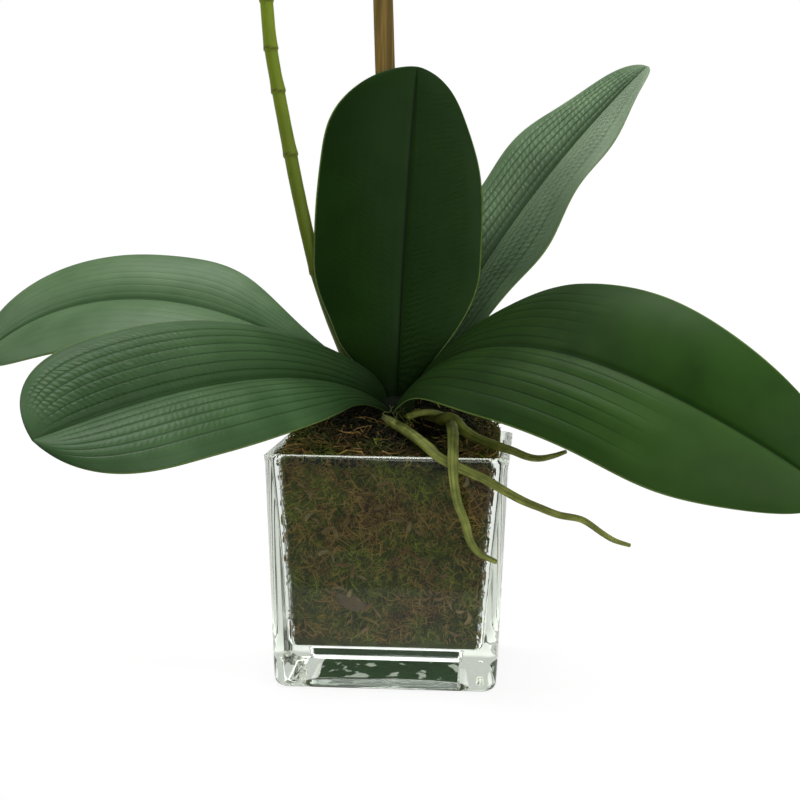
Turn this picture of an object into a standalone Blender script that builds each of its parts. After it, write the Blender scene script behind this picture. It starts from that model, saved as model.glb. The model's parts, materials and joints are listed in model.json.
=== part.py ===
"""Orchid arrangement: a moth orchid with five leaves, aerial roots and an arching spike of
blooms, planted in moss round a foam block in a pressed-glass cube vase."""
import math

import bmesh
import bpy
from mathutils import Euler, Matrix, Vector, noise

# Metres and degrees. +Z is up, the viewer stands on the -Y side, and the origin is the
# middle of the vase's flat underside.
GAP = 0.0003

VASE_HEIGHT = 0.123
VASE_RIM = 0.127
VASE_FOOT = 0.116
VASE_CORNER = 0.008
VASE_HEEL = 0.005
RIM_POLISH = 0.0012
WALL_RIM = 0.0057
WALL_FLOOR = 0.0082
VASE_FLOOR = 0.0215
CAVITY_CORNER = 0.0065
CAVITY_HEEL = 0.006

FOAM_SIDE = 0.078
FOAM_TOP = 0.112
MOSS_WALL_GAP = 0.0022
MOSS_CORNER = 0.0045
MOSS_HEEL = 0.0035
MOSS_TOP_GAP = 0.0010
MOSS_EDGE_HEIGHT = 0.1185
MOSS_RISE = 0.0205
MOSS_BACK_RISE = 0.0225
MOSS_LUMP = 0.0018
MOSS_LUMPS_PER_METRE = (75.0, 170.0)
MOSS_CELLS = 15

CROWN_RADIUS = 0.0105
CROWN_WIDEST = 0.139
CROWN_TOP = 0.148
CROWN_STALK_RADIUS = 0.006
CROWN_FOOT = 0.075

LEAF_THICKNESS = 0.0012
FOOT_LENGTH = 0.10
LEAF_ROWS = 17
LEAF_COLUMNS = 8
MIDRIB_STEPS = 120

# Each leaf leaves the crown at its seat. Heading and rise are the midrib's directions at
# the seat and at the tip, and turn and droop say how early it goes from one to the other.
# Roll tips the blade about the midrib, fold is the V along it, and curl is the slope that
# the section has at the blade's edge. Foot and foot_fold are each half's width, as a share
# of its full width, and its fold at the seat: the front leaves clasp the crown.
LEAVES = {
    "leaf_upright": dict(
        seat=(0.001, 0.002, 0.146), root=0.004, length=0.1815, width=0.093,
        heading=(81.5, 70.5), turn=0.49, rise=(86.0, 80.0), droop=0.47, roll=(-3.0, 37.0),
        fold=7.5, curl=-21.5, widest=0.41, tip=3.3, skew=0.07, ripple=0.0,
        foot=(0.10, 0.10), foot_fold=(55.0, 55.0)),
    "leaf_right_back": dict(
        seat=(0.009, 0.0085, 0.1475), root=0.012, length=0.236, width=0.085,
        heading=(49.5, 11.5), turn=1.0, rise=(56.5, 45.0), droop=1.04, roll=(13.5, 17.5),
        fold=27.5, curl=-7.5, widest=0.48, tip=2.77, skew=0.0, ripple=0.0022,
        foot=(0.09, 0.09), foot_fold=(55.0, 55.0)),
    "leaf_right_front": dict(
        seat=(0.0095, -0.0042, 0.1450), root=0.0045, length=0.283, width=0.0925,
        heading=(-49.5, 2.5), turn=2.48, rise=(84.0, -36.0), droop=0.35, roll=(25.5, 76.5),
        fold=19.0, curl=-21.0, widest=0.38, tip=2.47, skew=-0.02, ripple=0.0,
        foot=(0.30, 0.10), foot_fold=(5.0, 55.0)),
    "leaf_left_front": dict(
        seat=(-0.008, -0.004, 0.143), root=0.008, length=0.227, width=0.0905,
        heading=(232.5, 222.0), turn=2.22, rise=(45.0, -17.0), droop=0.37, roll=(-43.0, -37.5),
        fold=32.5, curl=-22.5, widest=0.67, tip=3.45, skew=0.02, ripple=0.0,
        foot=(0.11, 0.13), foot_fold=(55.0, 55.0)),
    "leaf_left_back": dict(
        seat=(-0.0085, 0.0065, 0.147), root=0.008, length=0.245, width=0.088,
        heading=(176.0, 178.0), turn=1.63, rise=(33.0, -43.5), droop=1.64, roll=(-37.0, -34.0),
        fold=28.5, curl=-13.5, widest=0.67, tip=2.62, skew=0.16, ripple=0.0,
        foot=(0.09, 0.09), foot_fold=(55.0, 55.0)),
}

# The spike's route, with its radius at each point: up out of the foam, back to the stake,
# and over in an arch to the right.
SPIKE_ROUTE = [
    ((0.0065, 0.023, 0.090), 0.0037), ((-0.0155, 0.023, 0.140), 0.0038),
    ((-0.0280, 0.023, 0.167), 0.0039), ((-0.0375, 0.023, 0.190), 0.0039),
    ((-0.0460, 0.023, 0.215), 0.0038), ((-0.0540, 0.023, 0.247), 0.0037),
    ((-0.0618, 0.023, 0.284), 0.0037), ((-0.0675, 0.023, 0.313), 0.0036),
    ((-0.0715, 0.023, 0.335), 0.0036), ((-0.0740, 0.023, 0.361), 0.0036),
    ((-0.0765, 0.0235, 0.400), 0.0035), ((-0.0770, 0.024, 0.440), 0.0034),
    ((-0.0700, 0.026, 0.482), 0.0032), ((-0.0500, 0.0275, 0.525), 0.0030),
    ((-0.0240, 0.0283, 0.560), 0.0028), ((0.0100, 0.0275, 0.590), 0.0026),
    ((0.0480, 0.025, 0.607), 0.0024), ((0.0900, 0.021, 0.603), 0.0022),
    ((0.1280, 0.017, 0.582), 0.0020), ((0.1600, 0.013, 0.550), 0.0018),
    ((0.1840, 0.009, 0.508), 0.0016), ((0.2000, 0.006, 0.462), 0.0014),
    ((0.2090, 0.004, 0.412), 0.0012),
]
SPIKE_SPACING = 0.018
ARCH_SPACING = 0.004
SPIKE_JOINTS = (0.2145, 0.278, 0.3125, 0.335, 0.3605, 0.396, 0.440, 0.488)
JOINT_COLLAR = 0.0005
JOINT_LENGTH = 0.006

STAKE_WIDTH = 0.0108
STAKE_THICKNESS = 0.0035
STAKE_FOOT = Vector((0.0003, 0.034, 0.060))
STAKE_TOP = Vector((-0.0195, 0.034, 0.580))
STAKE_KNOTS = (0.235, 0.450)

TIE_STATION = 14
TIE_RADIUS = 0.0008

# Aerial roots: the route's points and the radius at each.
ROOT_LONG = [
    ((-0.0045, -0.0135, 0.1375), 0.0036), ((-0.0005, -0.019, 0.1360), 0.0037),
    ((0.0072, -0.034, 0.1342), 0.0034), ((0.0158, -0.050, 0.1310), 0.0031),
    ((0.0229, -0.062, 0.1275), 0.0028), ((0.0284, -0.068, 0.1238), 0.0026),
    ((0.0389, -0.0705, 0.1190), 0.0025), ((0.0510, -0.0725, 0.1141), 0.0024),
    ((0.0601, -0.074, 0.1092), 0.0022), ((0.0692, -0.076, 0.1046), 0.0021),
    ((0.0782, -0.078, 0.1013), 0.0019), ((0.0884, -0.080, 0.0979), 0.0018),
    ((0.0985, -0.081, 0.0963), 0.0017), ((0.1036, -0.082, 0.0941), 0.0016),
    ((0.1099, -0.083, 0.0898), 0.0015), ((0.1162, -0.084, 0.0863), 0.0013),
    ((0.1238, -0.084, 0.0840), 0.0010),
]
ROOT_BRANCHES = [
    [((0.0262, -0.0215, 0.1385), 0.0032), ((0.0300, -0.0235, 0.1392), 0.0033),
     ((0.0338, -0.026, 0.1377), 0.0032), ((0.0388, -0.032, 0.1340), 0.0030),
     ((0.0458, -0.040, 0.1308), 0.0027), ((0.0566, -0.051, 0.1283), 0.0024),
     ((0.0646, -0.056, 0.1266), 0.0021), ((0.0725, -0.060, 0.1241), 0.0019),
     ((0.0788, -0.063, 0.1238), 0.0017), ((0.0854, -0.065, 0.1254), 0.0014),
     ((0.0917, -0.066, 0.1278), 0.0010)],
    [((0.0300, -0.025, 0.1395), 0.0028), ((0.0325, -0.042, 0.1376), 0.0029),
     ((0.0346, -0.062, 0.1343), 0.0029), ((0.0353, -0.074, 0.1280), 0.0028),
     ((0.0359, -0.079, 0.1160), 0.0025), ((0.0380, -0.080, 0.1034), 0.0023),
     ((0.0420, -0.080, 0.0930), 0.0022), ((0.0446, -0.081, 0.0843), 0.0020),
     ((0.0492, -0.082, 0.0780), 0.0018), ((0.0577, -0.083, 0.0740), 0.0012)],
    [((0.0098, -0.034, 0.1408), 0.0018), ((0.0153, -0.029, 0.1422), 0.0019),
     ((0.0215, -0.025, 0.1420), 0.0019), ((0.0277, -0.022, 0.1400), 0.0020)],
    [((0.0290, -0.0225, 0.1385), 0.0028), ((0.0230, -0.0165, 0.1385), 0.0028),
     ((0.0172, -0.0106, 0.1388), 0.0025), ((0.0092, -0.0055, 0.1378), 0.0019)],
]
ROOT_SPACING = 0.008

# A bloom faces -Y with its centre at its own origin: three sepals behind, two broad petals
# in front of them, and the column in the middle.
BLOOM_THICKNESS = 0.0010
BLOOM_START = 0.0015
PETAL_ROWS = 5
HUB_RADIUS = 0.0045
COLUMN_RADIUS = 0.0028
COLUMN_LENGTH = 0.012
SEPALS = [
    dict(length=0.041, width=0.029, towards=90.0, layer=0.0017, back=0.0035, cup=-0.0015),
    dict(length=0.038, width=0.027, towards=219.0, layer=0.0017, back=0.0045, cup=-0.0015),
    dict(length=0.038, width=0.027, towards=321.0, layer=0.0017, back=0.0045, cup=-0.0015),
]
PETALS = [
    dict(length=0.045, width=0.054, towards=6.0, layer=-0.0028, back=0.0030, cup=0.0016),
    dict(length=0.045, width=0.054, towards=174.0, layer=-0.0028, back=0.0030, cup=0.0016),
]
LIP_CORE = Vector((0.0, -0.0046, -0.0064))
LIP_CORE_RADIUS = 0.0026
LIP_THICKNESS = 0.0012
LIP_LENGTH = 0.020
LIP_WIDTH = 0.013
LIP_DIVE = (25.0, 85.0)
LOBE_LENGTH = 0.0125
LOBE_WIDTH = 0.010
LOBE_SPREAD = 32.0

BLOOMS = 7
BLOOM_FIRST = 0.016
BLOOM_PITCH = 0.045
BLOOM_SIDE = 0.029
BLOOM_FORWARD = (0.028, 0.047)
BLOOM_SCALE = (1.04, 0.90)
BLOOM_NOD = 9.0
BLOOM_TURN = 7.0
PEDICEL_RADIUS = 0.0013
BUDS = 3
BUD_FIRST = 0.332
BUD_PITCH = 0.024
BUD_LENGTH = (0.021, 0.013)
BUD_SIDE = 0.014


def material(name, red, green, blue, roughness):
    """A Principled material with the piece's own colour."""
    made = bpy.data.materials.new(name)
    made.use_nodes = True
    shader = made.node_tree.nodes["Principled BSDF"]
    shader.inputs["Base Color"].default_value = (red, green, blue, 1.0)
    shader.inputs["Roughness"].default_value = roughness
    shader.inputs["Metallic"].default_value = 0.0
    return made


def glass(name):
    made = material(name, 0.93, 0.97, 0.95, 0.03)
    shader = made.node_tree.nodes["Principled BSDF"]
    shader.inputs["Transmission Weight"].default_value = 1.0
    shader.inputs["IOR"].default_value = 1.51
    return made


def mix(pair, share):
    return pair[0] + (pair[1] - pair[0]) * share


def collection(name):
    made = bpy.data.collections.new(name)
    bpy.context.scene.collection.children.link(made)
    return made


def place(name, mesh, group, finish=None):
    thing = bpy.data.objects.new(name, mesh)
    if finish is not None:
        mesh.materials.clear()
        mesh.materials.append(finish)
    group.objects.link(thing)
    return thing


def mesh_from(bm, name):
    mesh = bpy.data.meshes.new(name)
    bm.to_mesh(mesh)
    bm.free()
    return mesh


def as_cutter(thing):
    thing.hide_render = True
    thing.display_type = "WIRE"
    return thing


def boolean(thing, other, operation="DIFFERENCE"):
    step = thing.modifiers.new("cut" if operation == "DIFFERENCE" else "join", "BOOLEAN")
    step.operation = operation
    step.solver = "EXACT"
    if isinstance(other, bpy.types.Collection):
        step.operand_type = "COLLECTION"
        step.collection = other
    else:
        step.object = other
    return step


def evaluated_mesh(thing):
    """The thing's mesh with its modifiers or its curve bevel worked out, in world space."""
    graph = bpy.context.evaluated_depsgraph_get()
    mesh = bpy.data.meshes.new_from_object(thing.evaluated_get(graph))
    mesh.transform(thing.matrix_world)
    bm = bmesh.new()
    bm.from_mesh(mesh)
    bmesh.ops.remove_doubles(bm, verts=bm.verts, dist=0.00001)
    bm.to_mesh(mesh)
    bm.free()
    return mesh


def fuse(name, pieces, group, finish, spare):
    """Join overlapping closed pieces into one body with a Boolean union."""
    first, others = pieces[0], pieces[1:]
    for other in others:
        spare.objects.link(other)
        group.objects.unlink(other)
    boolean(first, spare, "UNION")
    bpy.context.view_layer.update()
    mesh = evaluated_mesh(first)
    for piece in pieces:
        bpy.data.objects.remove(piece)
    return place(name, mesh, group, finish)


def smooth_route(route, spacing):
    """A smooth curve through the route's own points, as (point, radius) every spacing."""
    points = [Vector(point) for point, _ in route]
    radii = [radius for _, radius in route]
    ends = [2 * points[0] - points[1]] + points + [2 * points[-1] - points[-2]]
    result = []
    for i in range(len(points) - 1):
        a, b, c, d = ends[i:i + 4]
        pieces = max(1, round((c - b).length / spacing))
        for step in range(pieces):
            t = step / pieces
            point = 0.5 * (2 * b + (c - a) * t + (2 * a - 5 * b + 4 * c - d) * t ** 2
                           + (3 * b - a - 3 * c + d) * t ** 3)
            result.append((point, mix((radii[i], radii[i + 1]), t)))
    result.append((points[-1], radii[-1]))
    return result


def tube(name, points, group, sides_level=2):
    """A round tube through (point, radius) pairs, closed at both ends, as a mesh."""
    curve = bpy.data.curves.new(name, "CURVE")
    curve.dimensions = "3D"
    curve.bevel_depth = 1.0
    curve.bevel_resolution = sides_level
    curve.use_fill_caps = True
    spline = curve.splines.new("POLY")
    spline.points.add(len(points) - 1)
    for control, (point, radius) in zip(spline.points, points):
        control.co = (*point, 1.0)
        control.radius = radius
    thing = bpy.data.objects.new(name, curve)
    group.objects.link(thing)
    bpy.context.view_layer.update()
    mesh = evaluated_mesh(thing)
    bpy.data.objects.remove(thing)
    return place(name, mesh, group)


def tapered_block(name, low, high, low_side, high_side, corner, heel=0.0, corner_steps=4):
    """A square block that widens upwards, with rounded upright corners and heel."""
    bm = bmesh.new()
    bmesh.ops.create_cube(bm, size=1.0)
    for vert in bm.verts:
        top = vert.co.z > 0
        side = high_side if top else low_side
        vert.co = Vector((vert.co.x * side, vert.co.y * side, high if top else low))
    upright = [edge for edge in bm.edges if abs(edge.verts[0].co.z - edge.verts[1].co.z) > 0.001]
    bmesh.ops.bevel(bm, geom=upright, offset=corner, segments=corner_steps, profile=0.5,
                    affect="EDGES")
    if heel:
        lowest = [edge for edge in bm.edges
                  if all(abs(vert.co.z - low) < 0.000001 for vert in edge.verts)]
        bmesh.ops.bevel(bm, geom=lowest, offset=heel, segments=3, profile=0.5, affect="EDGES")
    return mesh_from(bm, name)


def inner_side(height):
    """The cavity's width at a height above the vase's underside."""
    share = (height - VASE_FLOOR) / (VASE_HEIGHT - VASE_FLOOR)
    floor_side = mix((VASE_FOOT, VASE_RIM), VASE_FLOOR / VASE_HEIGHT) - 2 * WALL_FLOOR
    return mix((floor_side, VASE_RIM - 2 * WALL_RIM), share)


def make_vase(group, cutters):
    """Thick pressed glass, one solid with the cavity cut out of it."""
    vase = place("glass_vase", tapered_block("glass_vase", 0.0, VASE_HEIGHT, VASE_FOOT,
                                             VASE_RIM, VASE_CORNER, VASE_HEEL),
                 group, glass("clear_glass"))
    above = VASE_HEIGHT + 0.01
    cavity = place("vase_cavity", tapered_block("vase_cavity", VASE_FLOOR, above,
                                                inner_side(VASE_FLOOR), inner_side(above),
                                                CAVITY_CORNER, CAVITY_HEEL), cutters)
    boolean(vase, as_cutter(cavity))
    rim = vase.modifiers.new("polished_rim", "BEVEL")
    rim.width = RIM_POLISH
    rim.segments = 2
    rim.limit_method = "ANGLE"
    rim.angle_limit = math.radians(60)
    return vase


def hole_along(name, start, end, radius, cutters):
    """A round cutter from one point to another."""
    start, end = Vector(start), Vector(end)
    bm = bmesh.new()
    turn = (end - start).to_track_quat("Z", "Y").to_matrix().to_4x4()
    bmesh.ops.create_cone(bm, cap_ends=True, segments=12, radius1=radius, radius2=radius,
                          depth=(end - start).length,
                          matrix=Matrix.Translation((start + end) / 2) @ turn)
    return as_cutter(place(name, mesh_from(bm, name), cutters))


def make_holes(cutters):
    """Plain holes for the crown, the spike and the stake, a little wider than each."""
    # A cylinder of 12 flat sides is narrower than its circle by this factor.
    flat = 1.0 / math.cos(math.pi / 12)
    spike_low, spike_high = Vector(SPIKE_ROUTE[0][0]), Vector(SPIKE_ROUTE[2][0])
    lean = (spike_high - spike_low).normalized()
    crown_wide = hole_along("crown_hole_wide", (0, 0, FOAM_TOP), (0, 0, 0.16),
                            (CROWN_RADIUS + GAP) * flat, cutters)
    crown_narrow = hole_along("crown_hole_narrow", (0, 0, CROWN_FOOT - GAP), (0, 0, 0.13),
                              (CROWN_STALK_RADIUS + GAP) * flat, cutters)
    spike = hole_along("spike_hole", spike_low - lean * GAP, spike_high,
                       (SPIKE_ROUTE[2][1] + GAP * 3) * flat, cutters)
    stake = as_cutter(place("stake_hole", stake_mesh("stake_hole", GAP), cutters))
    return crown_wide, crown_narrow, spike, stake


def make_filling(group, cutters, holes):
    """The foam block that holds the stems, the moss packed round it, and the moss on top."""
    crown_wide, crown_narrow, spike, stake = holes
    floor = VASE_FLOOR + GAP
    foam = place("foam_block", tapered_block("foam_block", floor, FOAM_TOP, FOAM_SIDE,
                                             FOAM_SIDE, 0.002, corner_steps=1),
                 group, material("floral_foam", 0.020, 0.085, 0.022, 0.95))
    for hole in (crown_narrow, spike, stake):
        boolean(foam, hole)

    low_side = inner_side(floor) - 2 * MOSS_WALL_GAP
    high_side = inner_side(FOAM_TOP) - 2 * MOSS_WALL_GAP
    green = material("preserved_moss", 0.075, 0.080, 0.028, 1.0)
    sides = place("moss_sides", tapered_block("moss_sides", floor, FOAM_TOP, low_side, high_side,
                                              MOSS_CORNER, MOSS_HEEL, corner_steps=2),
                  group, green)
    bore_side = FOAM_SIDE + 2 * GAP
    bore = place("foam_bore", tapered_block("foam_bore", 0.0, 0.15, bore_side, bore_side, 0.002,
                                            corner_steps=1), cutters)
    boolean(sides, as_cutter(bore))

    top = place("moss_top", moss_mound(), group, green)
    for hole in (crown_wide, spike, stake):
        boolean(top, hole)


def moss_height(x, y, half):
    """The lumpy mound: highest behind the crown, and steep towards the front rim."""
    across = 1 - abs(x / half) ** 4
    along = 1 - (abs(y / half) ** 0.7 if y < 0 else (y / half) ** 5)
    rise = mix((MOSS_RISE, MOSS_BACK_RISE), min(max(y / 0.020, 0.0), 1.0))
    broad, fine = MOSS_LUMPS_PER_METRE
    lump = noise.noise(Vector((x, y, 0.0)) * broad) + 0.6 * noise.noise(Vector((y, x, 0.0)) * fine)
    return MOSS_EDGE_HEIGHT + rise * across * along + MOSS_LUMP * lump


def moss_mound():
    """A grid raised into the mound, with its border dropped straight to the foam."""
    half = inner_side(MOSS_EDGE_HEIGHT) / 2 - MOSS_TOP_GAP
    low_half = inner_side(FOAM_TOP) / 2 - MOSS_TOP_GAP
    corner_in = half - CAVITY_CORNER * (1 - math.sqrt(0.5)) * 1.3
    bm = bmesh.new()
    bmesh.ops.create_grid(bm, x_segments=MOSS_CELLS, y_segments=MOSS_CELLS, size=half)
    for vert in bm.verts:
        if min(abs(vert.co.x), abs(vert.co.y)) > half * 0.999:
            vert.co.x = math.copysign(corner_in, vert.co.x)
            vert.co.y = math.copysign(corner_in, vert.co.y)
        vert.co.z = moss_height(vert.co.x, vert.co.y, half)
    border = [edge for edge in bm.edges if edge.is_boundary]
    skirt = bmesh.ops.extrude_edge_only(bm, edges=border)["geom"]
    for vert in [item for item in skirt if isinstance(item, bmesh.types.BMVert)]:
        vert.co.x *= low_half / half
        vert.co.y *= low_half / half
        vert.co.z = FOAM_TOP + GAP
    bottom = [edge for edge in bm.edges if edge.is_boundary]
    bmesh.ops.contextual_create(bm, geom=bottom)
    bmesh.ops.triangulate(bm, faces=bm.faces)
    bmesh.ops.recalc_face_normals(bm, faces=bm.faces)
    return mesh_from(bm, "moss_top")


def turned(name, profile, group, finish, steps=20):
    """A turned piece: a profile at +X, from top to bottom, with a Screw modifier."""
    bm = bmesh.new()
    verts = [bm.verts.new((radius, 0.0, height)) for radius, height in profile]
    for one, other in zip(verts, verts[1:]):
        bm.edges.new((one, other))
    thing = place(name, mesh_from(bm, name), group, finish)
    screw = thing.modifiers.new("turn", "SCREW")
    screw.steps = steps
    screw.render_steps = steps
    screw.use_merge_vertices = True
    screw.merge_threshold = 0.00001
    return thing


def crown_profile(grow=0.0):
    """A bulbous crown on a slim stalk, as (radius, height) from top to bottom."""
    radius, dome = CROWN_RADIUS + grow, CROWN_TOP - CROWN_WIDEST + grow
    profile = [(radius * math.sin(math.radians(angle)),
                CROWN_WIDEST + dome * math.cos(math.radians(angle))) for angle in range(0, 91, 15)]
    profile[0] = (0.0, CROWN_WIDEST + dome)
    profile.append((CROWN_RADIUS * 0.92 + grow, CROWN_WIDEST - 0.006))
    profile.append((CROWN_RADIUS * 0.72 + grow, CROWN_WIDEST - 0.012))
    profile.append((CROWN_STALK_RADIUS + grow, FOAM_TOP + 0.008))
    profile.append((CROWN_STALK_RADIUS + grow, CROWN_FOOT - grow))
    profile.append((0.0, CROWN_FOOT - grow))
    return profile


def make_crown(group, cutters):
    """The short stem that all the leaves grow from, and a copy grown by the gap."""
    turned("crown", crown_profile(), group, material("crown", 0.085, 0.105, 0.030, 0.7))
    return as_cutter(turned("crown_clearance", crown_profile(GAP), cutters, None))


def midrib(leaf):
    """Points and directions along a leaf's midrib, from its seat to its tip."""
    point = Vector(leaf["seat"])
    before = None
    stations = []
    for step in range(MIDRIB_STEPS + 1):
        t = step / MIDRIB_STEPS
        heading = math.radians(mix(leaf["heading"], t ** leaf["turn"]))
        rise = math.radians(mix(leaf["rise"], t ** leaf["droop"]))
        along = Vector((math.cos(rise) * math.cos(heading), math.cos(rise) * math.sin(heading),
                        math.sin(rise)))
        if before is not None:
            point = point + (along + before) * leaf["length"] / (2 * MIDRIB_STEPS)
        stations.append((point, along, heading))
        before = along
    return stations


def half_width(shape, t, foot):
    """A blade's width along it, as a share: narrow foot, broad middle, rounded tip."""
    if t < shape["widest"]:
        rising = math.sin(max(t, 0.0) / shape["widest"] * math.pi / 2)
        return foot + (1 - foot) * rising ** 1.1
    falling = (t - shape["widest"]) / (1 - shape["widest"])
    return math.sqrt(max(0.0, 1 - falling ** shape["tip"]))


def leaf_point(leaf, stations, s, t):
    """A point of the blade: s from -1 to 1 across it, t from its seat at 0 to its tip at 1."""
    where = min(max(t, 0.0), 1.0) * MIDRIB_STEPS
    low = min(int(where), MIDRIB_STEPS - 1)
    point = stations[low][0].lerp(stations[low + 1][0], where - low)
    along = stations[low][1].lerp(stations[low + 1][1], where - low).normalized()
    heading = mix((stations[low][2], stations[low + 1][2]), where - low)
    if t < 0:
        point = point + along * t * leaf["length"]
    side = Vector((-math.sin(heading), math.cos(heading), 0.0))
    upper = along.cross(side)
    roll = math.radians(mix(leaf["roll"], max(t, 0.0)))
    across = side * math.cos(roll) + upper * math.sin(roll)
    face = upper * math.cos(roll) - side * math.sin(roll)
    half = 0 if s < 0 else 1
    more_fold = (leaf["foot_fold"][half] - leaf["fold"]) * math.exp(-max(t, 0.0) / FOOT_LENGTH)
    fold = math.radians(leaf["fold"] + more_fold)
    bend = math.radians(leaf["curl"]) - fold
    u = abs(s)
    run = (math.sin(fold + bend * u) - math.sin(fold)) / bend
    lift = (math.cos(fold) - math.cos(fold + bend * u)) / bend
    share = half_width(leaf, t, leaf["foot"][half])
    width = leaf["width"] / 2 * share * (1 + math.copysign(leaf["skew"], s))
    wave = leaf["ripple"] * u ** 3 * math.sin(t * 19.0 + (0.8 if s > 0 else 2.6)) * min(1, 4 * t)
    return (point + across * math.copysign(run, s) * width
            + face * (lift * width + wave * share))


def make_leaf(name, leaf, group, finish, crown_clearance):
    """A thin folded blade, cut off clean where it meets the crown."""
    stations = midrib(leaf)
    start = -leaf["root"] / leaf["length"]
    bm = bmesh.new()
    bmesh.ops.create_grid(bm, x_segments=LEAF_COLUMNS, y_segments=LEAF_ROWS, size=0.5)
    for vert in bm.verts:
        row = vert.co.y + 0.5
        t = mix((start, 1.0), 1 - (1 - row) ** 1.4)
        vert.co = leaf_point(leaf, stations, vert.co.x * 2, t)
    bmesh.ops.remove_doubles(bm, verts=bm.verts, dist=0.00005)
    bmesh.ops.triangulate(bm, faces=bm.faces)
    thing = place(name, mesh_from(bm, name), group, finish)
    thing.data.shade_smooth()
    blade = thing.modifiers.new("thickness", "SOLIDIFY")
    blade.thickness = LEAF_THICKNESS
    blade.offset = 0.0
    boolean(thing, crown_clearance)
    return thing


def stake_mesh(name, grow=0.0):
    """A split bamboo slat between its two ends, with a low knot where each joint was."""
    along = STAKE_TOP - STAKE_FOOT
    bm = bmesh.new()
    bmesh.ops.create_cube(bm, size=1.0)
    bmesh.ops.scale(bm, verts=bm.verts,
                    vec=(STAKE_WIDTH + 2 * grow, STAKE_THICKNESS + 2 * grow,
                         along.length + 2 * grow))
    upright = [edge for edge in bm.edges if abs(edge.verts[0].co.z - edge.verts[1].co.z) > 0.01]
    bmesh.ops.bevel(bm, geom=upright, offset=0.0008, segments=1, affect="EDGES")
    turn = Vector((0, 0, 1)).rotation_difference(along.normalized()).to_matrix().to_4x4()
    bm.transform(Matrix.Translation((STAKE_FOOT + STAKE_TOP) / 2) @ turn)
    return mesh_from(bm, name)


def make_stake(group, spare):
    slat = place("slat", stake_mesh("slat"), group)
    along = STAKE_TOP - STAKE_FOOT
    turn = Vector((0, 0, 1)).rotation_difference(along.normalized()).to_matrix().to_4x4()
    knots = []
    for height in STAKE_KNOTS:
        middle = STAKE_FOOT + along * (height - STAKE_FOOT.z) / along.z
        bm = bmesh.new()
        bmesh.ops.create_cube(bm, size=1.0)
        bmesh.ops.scale(bm, verts=bm.verts,
                        vec=(STAKE_WIDTH + 0.0012, STAKE_THICKNESS + 0.0006, 0.005))
        bmesh.ops.bevel(bm, geom=list(bm.edges), offset=0.0009, segments=1, affect="EDGES")
        bm.transform(Matrix.Translation(middle) @ turn)
        knots.append(place("knot", mesh_from(bm, "knot"), group))
    fuse("bamboo_stake", [slat] + knots, group, material("split_bamboo", 0.19, 0.12, 0.045, 0.6),
         spare)


def make_tie(group):
    """A soft wire loop round the stake and the spike, where they meet."""
    spike, spike_radius = Vector(SPIKE_ROUTE[TIE_STATION][0]), SPIKE_ROUTE[TIE_STATION][1]
    stake = STAKE_FOOT.lerp(STAKE_TOP, (spike.z - STAKE_FOOT.z) / (STAKE_TOP.z - STAKE_FOOT.z))
    clear = TIE_RADIUS + 3 * GAP
    back = stake.y + STAKE_THICKNESS / 2 + clear
    front = spike.y - spike_radius - clear
    middle = (stake.x + spike.x) / 2
    half = abs(stake.x - spike.x) / 2 + STAKE_WIDTH / 2 + clear
    corner = TIE_RADIUS * 2.5
    points = []
    for index, (x, y) in enumerate(((1, 1), (-1, 1), (-1, -1), (1, -1))):
        centre = Vector((middle + x * (half - corner), (back + front) / 2
                         + y * ((back - front) / 2 - corner), spike.z))
        for step in range(4):
            angle = math.radians(90 * index + 30 * step)
            points.append(centre + Vector((math.cos(angle), math.sin(angle), 0.0)) * corner)
    curve = bpy.data.curves.new("spike_tie", "CURVE")
    curve.dimensions = "3D"
    curve.bevel_depth = TIE_RADIUS
    curve.bevel_resolution = 1
    spline = curve.splines.new("POLY")
    spline.points.add(len(points) - 1)
    for control, point in zip(spline.points, points):
        control.co = (*point, 1.0)
    spline.use_cyclic_u = True
    curve.materials.append(material("tie_wire", 0.05, 0.12, 0.03, 0.5))
    group.objects.link(bpy.data.objects.new("spike_tie", curve))


def arch_stations():
    """Points along the spike after the tie, each with its distance from the tie."""
    points = [point for point, _ in smooth_route(SPIKE_ROUTE, ARCH_SPACING)]
    tied = Vector(SPIKE_ROUTE[TIE_STATION][0])
    tie = min(range(len(points)), key=lambda i: (points[i] - tied).length)
    travelled = 0.0
    stations = [(0.0, points[tie])]
    for one, other in zip(points[tie:], points[tie + 1:]):
        travelled += (other - one).length
        stations.append((travelled, other))
    return stations


def arch_point(stations, distance):
    """The point at a distance past the tie, and the spike's direction there."""
    for (low, one), (high, other) in zip(stations, stations[1:]):
        if high >= distance:
            return one.lerp(other, (distance - low) / (high - low)), (other - one).normalized()
    return stations[-1][1], (stations[-1][1] - stations[-2][1]).normalized()


def bloom_places():
    """Where each bloom's centre is, its turn, its scale, and where its stalk leaves the spike."""
    stations = arch_stations()
    places = []
    for index in range(BLOOMS):
        on_spike, along = arch_point(stations, BLOOM_FIRST + BLOOM_PITCH * index)
        side = 1 if index % 2 == 0 else -1
        out = Vector((-along.z, 0.0, along.x)).normalized() * side
        forward = BLOOM_FORWARD[0 if side > 0 else 1]
        centre = on_spike + out * BLOOM_SIDE + Vector((0.0, -forward, 0.0))
        turn = Euler((math.radians(BLOOM_NOD + 3 * math.sin(index * 2.1)),
                      math.radians(5 * math.sin(index * 1.7)),
                      math.radians(BLOOM_TURN * math.sin(index * 2.6 + 0.6))))
        scale = mix(BLOOM_SCALE, index / (BLOOMS - 1))
        places.append((centre, turn, scale, on_spike))
    return places


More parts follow.
